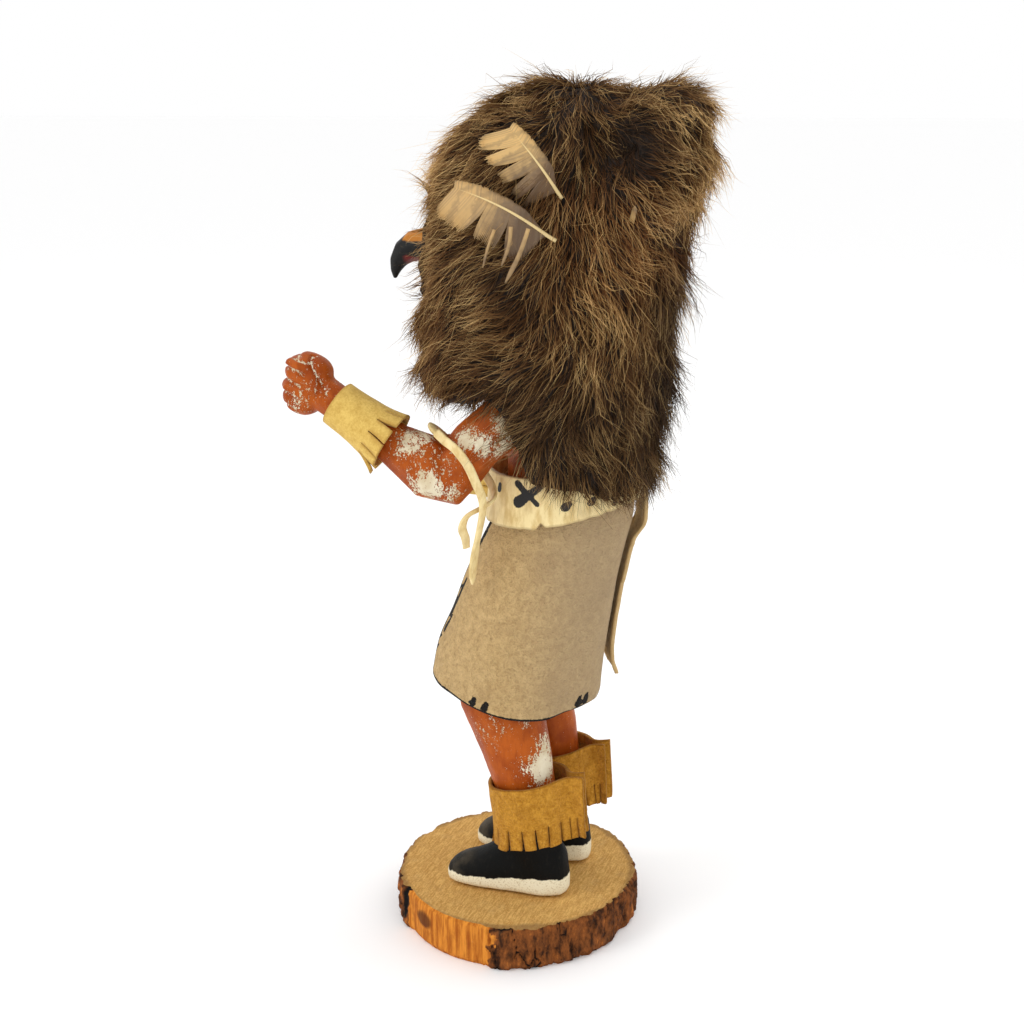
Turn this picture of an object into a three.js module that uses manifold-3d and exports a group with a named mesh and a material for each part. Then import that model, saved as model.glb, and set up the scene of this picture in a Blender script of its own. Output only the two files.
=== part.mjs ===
// A carved wooden kachina doll dressed in suede, cream leather, fur and feathers, on a slice of log.
// Millimetres, +Z up. The figure faces -Y and its left side is +X. The origin is the middle of the
// underside of the log slice. The figure is laid out in height parts, 284 to its whole height,
// counted up from the top of the slice.
import * as THREE from "three";
import { mergeVertices } from "three/addons/utils/BufferGeometryUtils.js";
import Module from "manifold-3d";

const wasm = await Module();
wasm.setup();

// Driving dimensions, in millimetres
const FIGURE_HEIGHT = 284;
const BASE_RADIUS = 44.5;
const BASE_THICKNESS = 16;
const BARK_DEPTH = 2.2;
const SUEDE_THICKNESS = 1.3;
const BAND_LEATHER_THICKNESS = 1.1;
const LACE_DIAMETER = 3;
const QUILL_THICKNESS = 0.7;
const SLIT_WIDTH = 0.7;
const SASH_WIDTH = 14;
const FIT_GAP = 0.35;

// Counts of what repeats
const LEGGING_STRIPS = 20;
const CUFF_STRIPS = 11;
const FINGERS = 4;
const ARM_RINGS = 14;

const HEIGHT_PARTS = 284;
const PART = FIGURE_HEIGHT / HEIGHT_PARTS;
const TURN = 2 * Math.PI;

// A place on the figure, given in height parts above the top of the base.
const spot = (x, y, z) => new THREE.Vector3(x * PART, y * PART, BASE_THICKNESS + z * PART);

// Smooth values down a list of rows, by a share from the first row to the last.
function smooth(rows) {
  const columns = Object.keys(rows[0]).map((key) => {
    const points = rows.map((row, i) => new THREE.Vector2(i, row[key]));
    return [key, new THREE.SplineCurve(points)];
  });
  return (share) => Object.fromEntries(columns.map(([key, curve]) => [key, curve.getPoint(share).y]));
}

// A closed geometry as a solid with its faces pointing out.
function solid(geometry) {
  const bare = geometry.clone();
  bare.deleteAttribute("normal");
  bare.deleteAttribute("uv");
  const merged = mergeVertices(bare, 1e-4);
  const triVerts = new Uint32Array(merged.index.array);
  const build = () =>
    new wasm.Manifold(
      new wasm.Mesh({ numProp: 3, vertProperties: merged.attributes.position.array, triVerts }),
    );
  const made = build();
  if (made.volume() > 0) return made;
  for (let i = 0; i < triVerts.length; i += 3) {
    [triVerts[i + 1], triVerts[i + 2]] = [triVerts[i + 2], triVerts[i + 1]];
  }
  return build();
}

// A solid as a geometry that a mesh can hold.
function geometryOf(made) {
  const { vertProperties, triVerts, numProp, numVert } = made.getMesh();
  const positions = new Float32Array(numVert * 3);
  for (let i = 0; i < numVert; i++) {
    positions.set(vertProperties.subarray(i * numProp, i * numProp + 3), i * 3);
  }
  return new THREE.BufferGeometry()
    .setAttribute("position", new THREE.BufferAttribute(positions, 3))
    .setIndex(new THREE.BufferAttribute(triVerts, 1));
}

// The biggest body of a solid, without the crumbs that a cut leaves.
function biggest(made) {
  return made.decompose().reduce((best, body) => (body.volume() > best.volume() ? body : best));
}

// Moves every vertex of a geometry to where the function puts it.
function shaped(geometry, place) {
  const position = geometry.attributes.position;
  const from = new THREE.Vector3();
  for (let i = 0; i < position.count; i++) {
    const to = place(from.fromBufferAttribute(position, i));
    position.setXYZ(i, to.x, to.y, to.z);
  }
  return geometry;
}

// A capped cylinder mapped by (share along it, angle round it, 0 on its axis to 1 on its surface).
function ringed(around, rings, place) {
  return shaped(new THREE.CylinderGeometry(1, 1, 1, around, rings), (p) =>
    place(p.y + 0.5, Math.atan2(-p.z, p.x), Math.hypot(p.x, p.z)),
  );
}

// A flat sheet mapped by (share across, share up, 0 on its inner face to 1 on its outer face).
function sheeted(across, up, place) {
  return shaped(new THREE.BoxGeometry(1, 1, 1, across, up), (p) => place(p.x + 0.5, p.y + 0.5, p.z + 0.5));
}

// A number raised to a power with its sign kept, for rounded squares.
const signedPower = (value, power) => Math.sign(value) * Math.abs(value) ** power;

// Ellipse rings stacked by rows of {z, mid, wide, deep}. grow adds millimetres all round.
function stacked(rows, { around, rings, grow = 0, side = () => 0, lift = () => 0, relief = () => 0 }) {
  const at = smooth(rows);
  return ringed(around, rings, (share, angle, out) => {
    const row = at(share);
    const more = grow / PART + relief(angle, row.z);
    const x = out * (row.wide + more) * Math.cos(angle);
    const y = row.mid + out * (row.deep + more) * Math.sin(angle);
    const capLift = share === 0 ? -grow : share === 1 ? grow : 0;
    return spot(x + side(row), y, row.z + capLift / PART + lift(row, y));
  });
}

// Rings along a curved line: rows of {x, y, z, r}, with the rings' first axis kept near +X.
function limbLine(rows) {
  const at = smooth(rows);
  const centre = (share) => {
    const row = at(THREE.MathUtils.clamp(share, 0, 1));
    return spot(row.x, row.y, row.z);
  };
  const step = 1e-3;
  const frame = (share) => {
    const along = centre(Math.min(1, share + step)).sub(centre(Math.max(0, share - step))).normalize();
    const side = new THREE.Vector3(1, 0, 0).addScaledVector(along, -along.x).normalize();
    return { along, side, up: new THREE.Vector3().crossVectors(along, side) };
  };
  const place = (share, angle, radius) => {
    const { side, up } = frame(share);
    return centre(share)
      .addScaledVector(side, Math.cos(angle) * radius)
      .addScaledVector(up, Math.sin(angle) * radius);
  };
  return { place, frame, centre, radius: (share) => at(share).r * PART };
}

function limb(line, { around, rings, grow = 0 }) {
  return ringed(around, rings, (share, angle, out) => {
    const point = line.place(share, angle, out * (line.radius(share) + grow));
    const end = share === 0 ? -grow : share === 1 ? grow : 0;
    return point.addScaledVector(line.frame(share).along, end);
  });
}

// The log slice: bark all round but for one bare stretch, where the wood is set back
const BARE_FROM = THREE.MathUtils.degToRad(-42);
const BARE_TO = THREE.MathUtils.degToRad(2);

function barkOut(angle) {
  const edge = 0.12;
  const { smoothstep } = THREE.MathUtils;
  const closed = smoothstep(angle, BARE_TO, BARE_TO + edge);
  const bare = smoothstep(angle, BARE_FROM - edge, BARE_FROM) * (1 - closed);
  const plates = 0.5 + 0.3 * Math.sin(9 * angle + 1) + 0.2 * Math.sin(23 * angle);
  return -bare * BARK_DEPTH - (1 - bare) * plates * BARK_DEPTH * 0.5;
}

function logSlice() {
  const around = 42;
  const levels = [0, 0.14, 0.6, 0.95, 1];
  const inset = [0.9, 0, -0.3, 0.2, 0.9];
  return ringed(around, levels.length - 1, (share, angle, out) => {
    const level = Math.round(share * (levels.length - 1));
    const oval = 0.012 * Math.cos(2 * angle + 0.6) + 0.008 * Math.cos(3 * angle);
    const radius = BASE_RADIUS * (1 + oval) + barkOut(angle) - inset[level];
    return new THREE.Vector3(
      out * radius * Math.cos(angle),
      out * radius * Math.sin(angle),
      levels[level] * BASE_THICKNESS,
    );
  });
}

// The carved figure: torso, head, legs and moccasins
const SOLE_LIFT = FIT_GAP / PART;

const TORSO_ROWS = [
  { z: 97, mid: 5, wide: 19, deep: 16 },
  { z: 106, mid: 8, wide: 22, deep: 19 },
  { z: 121, mid: 12.8, wide: 21.8, deep: 20.3 },
  { z: 139, mid: 18, wide: 20.3, deep: 20.5 },
  { z: 156, mid: 18.4, wide: 20.6, deep: 20.6 },
  { z: 174, mid: 17, wide: 25, deep: 20.5 },
  { z: 187, mid: 14, wide: 24, deep: 19 },
  { z: 197, mid: 10, wide: 17, deep: 16 },
  { z: 205, mid: 9, wide: 15, deep: 15 },
];

const LEG_ROWS = [
  { z: 12, x: 13.8, mid: 11.5, wide: 7.6, deep: 8.4 },
  { z: 28, x: 13.8, mid: 10, wide: 8.6, deep: 9.8 },
  { z: 42, x: 13.9, mid: 8.5, wide: 10, deep: 11.6 },
  { z: 56, x: 14.1, mid: 4, wide: 11.2, deep: 13.4 },
  { z: 68, x: 14.3, mid: -0.3, wide: 12.2, deep: 15.2 },
  { z: 82, x: 14, mid: -0.5, wide: 12.4, deep: 15.8 },
  { z: 95, x: 13, mid: 3, wide: 12, deep: 15.6 },
  { z: 104, x: 11.5, mid: 6.5, wide: 10.5, deep: 14.5 },
];

const HEAD = { y: 7, z: 231, wide: 28, deep: 27.5, tall: 34 };

const FOOT_ROWS = [
  { y: 24.3, wide: 2.6, top: 11 },
  { y: 22.6, wide: 5.4, top: 19 },
  { y: 17, wide: 7.6, top: 24 },
  { y: 8, wide: 8, top: 24.5 },
  { y: -0.5, wide: 8.4, top: 18.5 },
  { y: -8.5, wide: 8.9, top: 12.5 },
  { y: -15.5, wide: 8.2, top: 9.6 },
  { y: -19.2, wide: 5.8, top: 7.2 },
  { y: -20.8, wide: 2.4, top: 4.6 },
];
const FOOT_X = 13.8;
const FOOT_TOE_OUT = 2;
const SOLE_MID = 2.4;

function torso(grow = 0) {
  return solid(stacked(TORSO_ROWS, { around: 16, rings: 8, grow }));
}

function head(grow = 0) {
  return solid(
    shaped(new THREE.SphereGeometry(1, 14, 8), (p) =>
      spot(
        (HEAD.wide + grow / PART) * signedPower(p.x, 0.92),
        HEAD.y - (HEAD.deep + grow / PART) * signedPower(p.z, 0.92),
        HEAD.z + (HEAD.tall + grow / PART) * signedPower(p.y, 0.86),
      ),
    ),
  );
}

// side is 1 for the figure's left and -1 for its right.
function leg(side) {
  return solid(stacked(LEG_ROWS, { around: 12, rings: 5, side: (row) => side * row.x }));
}

function moccasin(side) {
  const at = smooth(FOOT_ROWS);
  return solid(
    ringed(10, 8, (share, angle, out) => {
      const row = at(share);
      const x = out * row.wide * signedPower(Math.cos(angle), 0.75);
      const up = Math.sin(angle);
      const rise = up > 0 ? (row.top - SOLE_MID) * up ** 0.85 : -SOLE_MID * Math.min(1, 2.2 * -up);
      const middle = side * (FOOT_X + FOOT_TOE_OUT * (share - 0.5));
      return spot(x + middle, row.y, SOLE_LIFT + SOLE_MID + out * rise);
    }),
  );
}

function figure() {
  const parts = [head(), leg(1), leg(-1), moccasin(1), moccasin(-1)];
  return parts.reduce((whole, part) => whole.add(part), torso());
}

// Arms: each is carved apart and set against the shoulder
const LEFT_ARM_ROWS = [
  { x: 12, y: 15, z: 184, r: 9 },
  { x: 24, y: 9, z: 177.5, r: 9.3 },
  { x: 29.5, y: -3.6, z: 166.4, r: 8.9 },
  { x: 32, y: -12.7, z: 154.6, r: 9.4 },
  { x: 33.6, y: -18.8, z: 159.2, r: 10.2 },
  { x: 35.2, y: -30, z: 165.8, r: 7.4 },
  { x: 36, y: -41, z: 172.8, r: 6.3 },
  { x: 36.4, y: -54, z: 181, r: 6.2 },
];
const RIGHT_ARM_ROWS = [
  { x: -12, y: 15, z: 184, r: 9 },
  { x: -25, y: 11, z: 176, r: 9.3 },
  { x: -31, y: 6.5, z: 159, r: 9.2 },
  { x: -32.5, y: 4, z: 147, r: 9.2 },
  { x: -33.2, y: -5, z: 142.4, r: 8.9 },
  { x: -33.6, y: -16, z: 140.6, r: 7.4 },
  { x: -34, y: -27, z: 139.8, r: 6.3 },
  { x: -34, y: -41, z: 139.5, r: 6.2 },
];
const CUFF_SHARES = { back: 0.725, front: 0.94 };

const FIST = { long: 8.6, tall: 10.6, thick: 7.4, fingerDepth: 0.85 };
const LEFT_FIST = { middle: [36.6, -60.2, 184], forward: [0, -0.94, 0.33] };
const RIGHT_FIST = { middle: [-34, -47, 140], forward: [0, -0.985, 0.17] };

// A closed hand: four rolled fingers one above another, with the thumb laid over the top.
function fist({ middle, forward }, grow = 0) {
  const along = new THREE.Vector3(...forward).normalize();
  const side = new THREE.Vector3(1, 0, 0);
  const up = new THREE.Vector3().crossVectors(side, along).normalize().negate();
  if (up.z < 0) up.negate();
  const centre = spot(...middle);
  const at = (a, s, u) =>
    centre.clone().addScaledVector(along, a).addScaledVector(side, s).addScaledVector(up, u);
  const hand = shaped(new THREE.SphereGeometry(1, 10, 16), (p) => {
    const height = signedPower(p.y, 0.8);
    const roll = FIST.fingerDepth * PART * Math.abs(Math.sin(FINGERS * 0.5 * Math.PI * (height + 1)));
    const taper = 1 + 0.1 * height;
    return at(
      signedPower(p.z, 0.8) * ((FIST.long - 1) * PART * taper + roll + grow),
      signedPower(p.x, 0.8) * ((FIST.thick - 1) * PART + roll + grow),
      height * (FIST.tall * PART + grow),
    );
  });
  const outward = Math.sign(middle[0]);
  const thumb = shaped(new THREE.SphereGeometry(1, 6, 5), (p) =>
    at(
      2.4 * PART + p.z * (5.6 * PART + grow),
      outward * 4.6 * PART + p.x * (3.4 * PART + grow),
      6.6 * PART + p.y * (2.9 * PART + grow) - 0.9 * PART * p.z,
    ),
  );
  return solid(hand).add(solid(thumb));
}

function arm(line, hand, grow = 0) {
  return solid(limb(line, { around: 9, rings: ARM_RINGS, grow })).add(fist(hand, grow));
}

// The beak: hooked, set on the front of the head
const BEAK_ROWS = [
  { x: 0, y: -14, z: 226, r: 7 },
  { x: 0, y: -28, z: 227, r: 6.3 },
  { x: 0, y: -36.5, z: 226.5, r: 5.4 },
  { x: 0, y: -41.5, z: 223.5, r: 4.2 },
  { x: 0, y: -44, z: 219, r: 2.4 },
  { x: 0, y: -44.6, z: 215, r: 0.6 },
];

function beak() {
  return solid(limb(limbLine(BEAK_ROWS), { around: 8, rings: 7 }));
}

// Sizes of the layers round the waist, from the body outwards
const KILT_FIT = 0.4;
const WAIST = { mid: 18.2, wide: 20.9, deep: 21.1 };
const layerOut = (layer) => (KILT_FIT + layer) / PART;
const KILT_OUT = layerOut(SUEDE_THICKNESS);
const BAND_IN = layerOut(SUEDE_THICKNESS + FIT_GAP);
const BAND_OUT = layerOut(SUEDE_THICKNESS + FIT_GAP + BAND_LEATHER_THICKNESS);

// The kilt: one suede sheet wrapped once and a little more, its left edge lying over its right one
const KILT_ROWS = [
  { z: 69.5, mid: 1, wide: 28.4, deep: 27.8 },
  { z: 84, mid: 3, wide: 28, deep: 27 },
  { z: 98, mid: 6.4, wide: 26.8, deep: 25.2 },
  { z: 112, mid: 10, wide: 25.2, deep: 23.8 },
  { z: 126, mid: 14.4, wide: 23, deep: 22.6 },
  { z: 138, mid: WAIST.mid - 0.4, wide: WAIST.wide + 0.5, deep: WAIST.deep + 0.6 },
  { z: 150, mid: WAIST.mid, wide: WAIST.wide + KILT_FIT, deep: WAIST.deep + KILT_FIT },
];
const KILT_START = THREE.MathUtils.degToRad(-66);
const KILT_SWEEP = THREE.MathUtils.degToRad(398);
const KILT_LAP = THREE.MathUtils.degToRad(75);
const HEM_RISE = 3.6;
const HEM_FRONT_RISE = 6.8;

function kilt() {
  const at = smooth(KILT_ROWS);
  return solid(
    sheeted(28, 4, (across, up, out) => {
      const row = at(up);
      const angle = KILT_START + across * KILT_SWEEP;
      const over = 1 - THREE.MathUtils.smoothstep(across * KILT_SWEEP, KILT_LAP * 0.6, KILT_LAP);
      const fold = (1 - up) ** 1.5 * (0.55 * Math.sin(5 * angle + 0.5) + 0.35 * Math.sin(9 * angle + 2));
      const thickness = SUEDE_THICKNESS / PART;
      const away = over * (1 - 0.15 * up) * (thickness + FIT_GAP / PART) + out * thickness + fold;
      const y = row.mid + (row.deep + away) * Math.sin(angle);
      const front = 1 - THREE.MathUtils.smoothstep(Math.sin(angle), -0.8, 0.75);
      const rise = HEM_RISE * Math.sin(angle) ** 2 + HEM_FRONT_RISE * front;
      return spot((row.wide + away) * Math.cos(angle), y, row.z + rise * (1 - up));
    }),
  );
}

// The waistband: a cream leather strip round the top of the kilt
const BAND = { low: 139, high: 155.5, frontSlope: 0.085, backSlope: 0.27, flare: 0.9 };
const BAND_LAP_OUT = SUEDE_THICKNESS + 3 * FIT_GAP;

function bandRing(out, share) {
  const lap = (1 - share) * 0.4;
  return {
    wide: WAIST.wide + out + BAND.flare * (1 - share) + lap,
    deep: WAIST.deep + out + BAND.flare * (1 - share) + lap,
  };
}

// Where the kilt's lap stands out at the front, the band rides over it.
function lapSwell(angle) {
  const fromStart = Math.abs(Math.atan2(Math.sin(angle - KILT_START), Math.cos(angle - KILT_START)));
  return (1 - THREE.MathUtils.smoothstep(fromStart, 0.6, 1.6)) * BAND_LAP_OUT / PART;
}

function waistband() {
  const section = [
    [BAND_IN, 0],
    [BAND_OUT, 0],
    [BAND_OUT, 1],
    [BAND_IN, 1],
    [BAND_IN, 0],
  ];
  const apart = 100;
  const profile = section.map(([out, share]) => new THREE.Vector2(apart + out, share));
  return solid(
    shaped(new THREE.LatheGeometry(profile, 32), (p) => {
      const out = Math.hypot(p.x, p.z) - apart;
      const angle = Math.atan2(-p.z, p.x);
      const ring = bandRing(out + lapSwell(angle), p.y);
      const y = WAIST.mid + ring.deep * Math.sin(angle);
      const slope = y < WAIST.mid ? BAND.frontSlope : BAND.backSlope;
      const low = BAND.low + slope * (y - WAIST.mid) * (1 - 0.5 * p.y);
      return spot(ring.wide * Math.cos(angle), y, low + p.y * (BAND.high - BAND.low));
    }),
  );
}

// The sash end: a suede strip that hangs down from under the fur, behind and to the right
const SASH_TURN = THREE.MathUtils.degToRad(28);
const SASH_ROWS = [
  { z: 77.5, out: 4 },
  { z: 83, out: 2 },
  { z: 92, out: 1.1 },
  { z: 108, out: 1.1 },
  { z: 125, out: 1 },
  { z: 140, out: 0.8 },
  { z: 150, out: 0.6 },
];

function backOf(z) {
  const at = smooth(KILT_ROWS);
  let best = at(0);
  const steps = 60;
  for (let i = 0; i <= steps; i++) {
    const row = at(i / steps);
    if (Math.abs(row.z - z) < Math.abs(best.z - z)) best = row;
  }
  return best;
}

function sash(grow = 0) {
  const at = smooth(SASH_ROWS);
  return solid(
    sheeted(3, 9, (across, up, out) => {
      const row = at(up);
      const near = backOf(row.z);
      const overBand = THREE.MathUtils.smoothstep(row.z, 128, 137);
      const surface = near.mid + near.deep + SUEDE_THICKNESS / PART + row.out;
      const bandSurface = WAIST.mid + WAIST.deep + BAND_OUT + BAND.flare + 2 * FIT_GAP / PART;
      const base = THREE.MathUtils.lerp(surface, Math.max(surface, bandSurface), overBand);
      const x = (across - 0.5) * SASH_WIDTH * (1 - 0.12 * up);
      const sag = (0.012 * x * x) / PART;
      const thick = out * SUEDE_THICKNESS + (2 * out - 1) * grow;
      const aside = (x * (SASH_WIDTH + 2 * grow)) / SASH_WIDTH / PART;
      const reach = base - 0.8 * sag + thick / PART - near.mid;
      const [cos, sin] = [Math.cos(SASH_TURN), Math.sin(SASH_TURN)];
      return spot(aside * cos - reach * sin, near.mid + reach * cos + aside * sin, row.z);
    }),
  );
}

// Wrist cuffs: suede sleeves that widen towards the elbow, slit into strips there
function wristCuff(line) {
  const { back, front } = CUFF_SHARES;
  const seam = THREE.MathUtils.degToRad(8);
  const place = (across, up, out) => {
    const share = THREE.MathUtils.lerp(back, front, up);
    const angle = Math.PI + seam + across * (TURN - 2 * seam);
    const inner = line.radius(share) + FIT_GAP + 1.5 * PART * (1 - up) ** 1.4;
    return line.place(share, angle, inner + out * SUEDE_THICKNESS);
  };
  const radius = line.radius(back) + 1.5 * PART;
  return slit(place, { across: CUFF_STRIPS, up: 2, strips: CUFF_STRIPS, depth: 0.36, round: TURN * radius });
}

// Cuts a bent sheet into strips along its lower edge.
function slit(place, { across, up, strips, depth, round }) {
  let sheet = solid(sheeted(across, up, place));
  const half = SLIT_WIDTH / 2 / round;
  for (let i = 1; i < strips; i++) {
    const at = i / strips;
    const knife = sheeted(1, 1, (a, u, o) =>
      place(THREE.MathUtils.lerp(at - half, at + half, a), THREE.MathUtils.lerp(-0.1, depth, u), 3 * o - 1),
    );
    sheet = sheet.subtract(solid(knife));
  }
  return sheet;
}

// Leggings: suede wraps round the ankles whose two ends stand out together behind
const LEGGING_PATH = [
  [1.9, 20.5],
  [2.2, 14.5],
  [8.6, 8.6],
  [11.6, 0.5],
  [8.9, -8.8],
  [0, -12.9],
  [-8.9, -8.8],
  [-11.6, 0.5],
  [-8.6, 8.6],
  [-1.2, 14.5],
  [-0.9, 19.8],
];
const LEGGING_ROWS = [
  { z: 20.5, y: 11.6, scale: 0.985 },
  { z: 31, y: 10.6, scale: 0.99 },
  { z: 43, y: 9.2, scale: 1.02 },
];
const LEGGING_BACK_LIFT = 0.2;

function legging(side) {
  const path = new THREE.SplineCurve(LEGGING_PATH.map(([x, y]) => new THREE.Vector2(x, y)));
  const at = smooth(LEGGING_ROWS);
  const place = (across, up, out) => {
    const row = at(THREE.MathUtils.clamp(up, 0, 1));
    const t = THREE.MathUtils.clamp(across, 0, 1);
    const point = path.getPoint(t);
    const tangent = path.getTangent(t);
    const flare = 0.7 * (1 - up) ** 2 * (0.5 + 0.5 * Math.cos(11 * TURN * across));
    const away = flare + (out * SUEDE_THICKNESS) / PART;
    const x = side * (point.x * row.scale - tangent.y * away);
    const y = point.y * row.scale + tangent.x * away;
    const z = row.z + Math.min(0, up) * 20 + LEGGING_BACK_LIFT * (y + 5);
    return spot(x + side * LEG_ROWS[1].x, row.y + y, z);
  };
  const round = path.getLength() * PART;
  return slit(place, { across: LEGGING_STRIPS, up: 2, strips: LEGGING_STRIPS, depth: 0.38, round });
}

// The lace round the left elbow: over the crook, down the outer side, under and up the inner side,
// with both ends hanging. The points are chosen by hand.
const LACE_POINTS = [
  [29.4, -5.2, 118.5],
  [30, -4.6, 124.5],
  [31, -3.4, 131],
  [32.6, -1.4, 138],
  [34.4, 0.6, 145.5],
  [37.4, 1.6, 151],
  [40.4, 0.6, 156.8],
  [41.8, -1.6, 162.6],
  [41.6, -5.6, 167.2],
  [39, -10.8, 169.5],
  [35, -16.2, 171.8],
  [29, -18.4, 171.4],
  [24, -16.2, 166.8],
  [20, -10.4, 160],
  [21.2, -2.6, 153],
  [26.4, 1.4, 148.2],
  [32, -0.6, 146.2],
  [35.2, -4.4, 143.8],
  [34.8, -6.4, 139.6],
  [33.6, -5.8, 135.6],
  [33.4, -5.6, 132.4],
];
const LACE_SIDES = 8;
const LACE_STEPS = 28;

function lace() {
  const path = new THREE.CatmullRomCurve3(LACE_POINTS.map((p) => spot(...p)));
  const round = new THREE.Shape();
  for (let i = 0; i < LACE_SIDES; i++) {
    const angle = (TURN * i) / LACE_SIDES;
    const [x, y] = [Math.cos(angle), Math.sin(angle)].map((v) => (v * LACE_DIAMETER) / 2);
    if (i === 0) round.moveTo(x, y);
    else round.lineTo(x, y);
  }
  round.closePath();
  return solid(new THREE.ExtrudeGeometry(round, { steps: LACE_STEPS, extrudePath: path, curveSegments: 1 }));
}

// The fur: a hood round the head, and a cape from a lobe behind the crown down to the waistband
const HOOD_ROWS = [
  { z: 190, mid: 8, wide: 30, deep: 30 },
  { z: 190.5, mid: 8, wide: 37.5, deep: 37.4 },
  { z: 198, mid: 8, wide: 42.6, deep: 42.4 },
  { z: 211, mid: 8, wide: 43.6, deep: 42.8 },
  { z: 228, mid: 8, wide: 43, deep: 41.6 },
  { z: 241, mid: 8.6, wide: 42, deep: 40.4 },
  { z: 253, mid: 9, wide: 40, deep: 39 },
  { z: 264, mid: 11.4, wide: 35.6, deep: 33.8 },
  { z: 273.5, mid: 14, wide: 29.6, deep: 27.6 },
  { z: 280, mid: 16, wide: 21, deep: 19.5 },
  { z: 284, mid: 18, wide: 9, deep: 8 },
];
const CAPE_ROWS = [
  { z: 157, mid: 16.5, wide: 27, deep: 26.6, droop: 1 },
  { z: 153.5, mid: 15.5, wide: 31, deep: 30.2, droop: 1 },
  { z: 160, mid: 14, wide: 36, deep: 35.4, droop: 0.9 },
  { z: 170, mid: 12, wide: 41, deep: 41.6, droop: 0.5 },
  { z: 183, mid: 10.5, wide: 44, deep: 44.6, droop: 0.15 },
  { z: 196, mid: 10, wide: 45, deep: 46, droop: 0 },
  { z: 209, mid: 20, wide: 42, deep: 37.4, droop: 0 },
  { z: 222, mid: 30, wide: 38.5, deep: 28.6, droop: 0 },
  { z: 234, mid: 36.5, wide: 36, deep: 23, droop: 0 },
  { z: 243.5, mid: 41, wide: 35.5, deep: 25.2, droop: 0 },
  { z: 254, mid: 42.6, wide: 34.5, deep: 25.4, droop: 0 },
  { z: 264, mid: 43, wide: 32, deep: 24.6, droop: 0 },
  { z: 273, mid: 45, wide: 26, deep: 20, droop: 0 },
  { z: 278.8, mid: 48, wide: 16, deep: 12, droop: 0 },
  { z: 280.8, mid: 50, wide: 4, deep: 3, droop: 0 },
];
const FUR_AROUND = 30;
const LOCK_HEIGHT = 0.95;
const LOCKS_ROUND = 11;

// Locks that run down and forward over the sides.
function locks(angle, z) {
  const turned = Math.sin(LOCKS_ROUND * angle + z / 9) * Math.cos(z / 13 + 2 * angle);
  return LOCK_HEIGHT * (turned + 0.5 * Math.sin(5 * angle - z / 7));
}

// The cape's lower edge steps up in front, over the arms, and falls a little towards the back.
const CAPE_STEP = { from: -13, to: -3, rise: 15 };

function capeDroop(row, y) {
  const step = CAPE_STEP.rise * THREE.MathUtils.smoothstep(-y, CAPE_STEP.from, CAPE_STEP.to);
  return row.droop * (0.18 * (10 - y) + step);
}

function hoodForm(grow = 0) {
  return solid(stacked(HOOD_ROWS, { around: FUR_AROUND, rings: 10, grow, relief: locks }));
}

function capeForm() {
  return solid(stacked(CAPE_ROWS, { around: FUR_AROUND, rings: 13, relief: locks, lift: capeDroop }));
}

// The face opening, wider outwards, round the beak.
const FACE = { z: 229, wide: 14, tall: 15.5, flare: 1.3 };

function faceOpening() {
  return solid(
    ringed(20, 1, (share, angle, out) => {
      const size = out * THREE.MathUtils.lerp(1, FACE.flare, share);
      const z = FACE.z + size * FACE.tall * Math.sin(angle);
      return spot(size * FACE.wide * Math.cos(angle), -12 - 45 * share, z);
    }),
  );
}

// What the fur has to leave free: the body, the layers round the waist and both arms.
function underFur() {
  const grown = BAND_OUT + BAND.flare + (SUEDE_THICKNESS + 3 * FIT_GAP) / PART;
  const column = [
    { z: 120, mid: WAIST.mid, wide: WAIST.wide + grown, deep: WAIST.deep + grown },
    { z: 163, mid: WAIST.mid, wide: WAIST.wide + grown, deep: WAIST.deep + grown },
  ];
  const lapped = (angle) => lapSwell(angle);
  const waist = solid(stacked(column, { around: 28, rings: 1, relief: lapped }));
  const sleeves = arms.map(({ line }) => solid(limb(line, { around: 9, rings: ARM_RINGS, grow: FIT_GAP })));
  return [waist, torso(FIT_GAP), head(FIT_GAP), sash(FIT_GAP), ...sleeves];
}

// Feathers: two on each side of the head, pointing up and forward, their quills in the fur
const FEATHERS = {
  upper: { base: [36, 25.5, 246.4], tip: [44, 12.9, 266.2], front: 8.6, rear: 4.6, splits: [0.45, 0.62] },
  lower: { base: [39, 23.9, 233.8], tip: [44.5, -5, 248.6], front: 9.6, rear: 4.6, splits: [0.5] },
};
const FEATHER_OUT = [0.95, -0.15, 0.28];

function feather({ base, tip, front, rear, splits }, side) {
  const from = new THREE.Vector3(...base);
  const along = new THREE.Vector3(...tip).sub(from);
  const length = along.length();
  const axis = along.clone().normalize();
  const outward = new THREE.Vector3(...FEATHER_OUT);
  const face = outward.clone().addScaledVector(axis, -axis.dot(outward)).normalize();
  const across = new THREE.Vector3().crossVectors(face, axis);
  const place = (a, u, o) => {
    const s = 2 * a - 1;
    const roundTip = Math.sqrt(Math.max(0.03, 1 - ((u - 0.55) / 0.46) ** 4));
    const vane = THREE.MathUtils.smoothstep(u, 0.05, 0.4) * roundTip;
    const width = 0.6 + vane * (s > 0 ? front : rear);
    const bow = 3.2 * Math.sin(Math.PI * u) - 0.16 * Math.abs(s) * width;
    const p = from
      .clone()
      .addScaledVector(axis, u * length - 0.12 * s * s * width)
      .addScaledVector(across, s * width)
      .addScaledVector(face, bow + ((o - 0.5) * QUILL_THICKNESS) / PART);
    return spot(side * p.x, p.y, p.z);
  };
  let made = solid(sheeted(4, 5, place));
  for (const at of splits) {
    const knife = sheeted(1, 1, (a, u, o) => {
      const open = THREE.MathUtils.lerp(0.6, 1.1, a);
      const gap = 0.028 * a;
      return place(open, THREE.MathUtils.lerp(at - gap, at + gap, u) - 0.04 * a, 8 * o - 3.5);
    });
    made = made.subtract(solid(knife));
  }
  return made;
}

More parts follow.
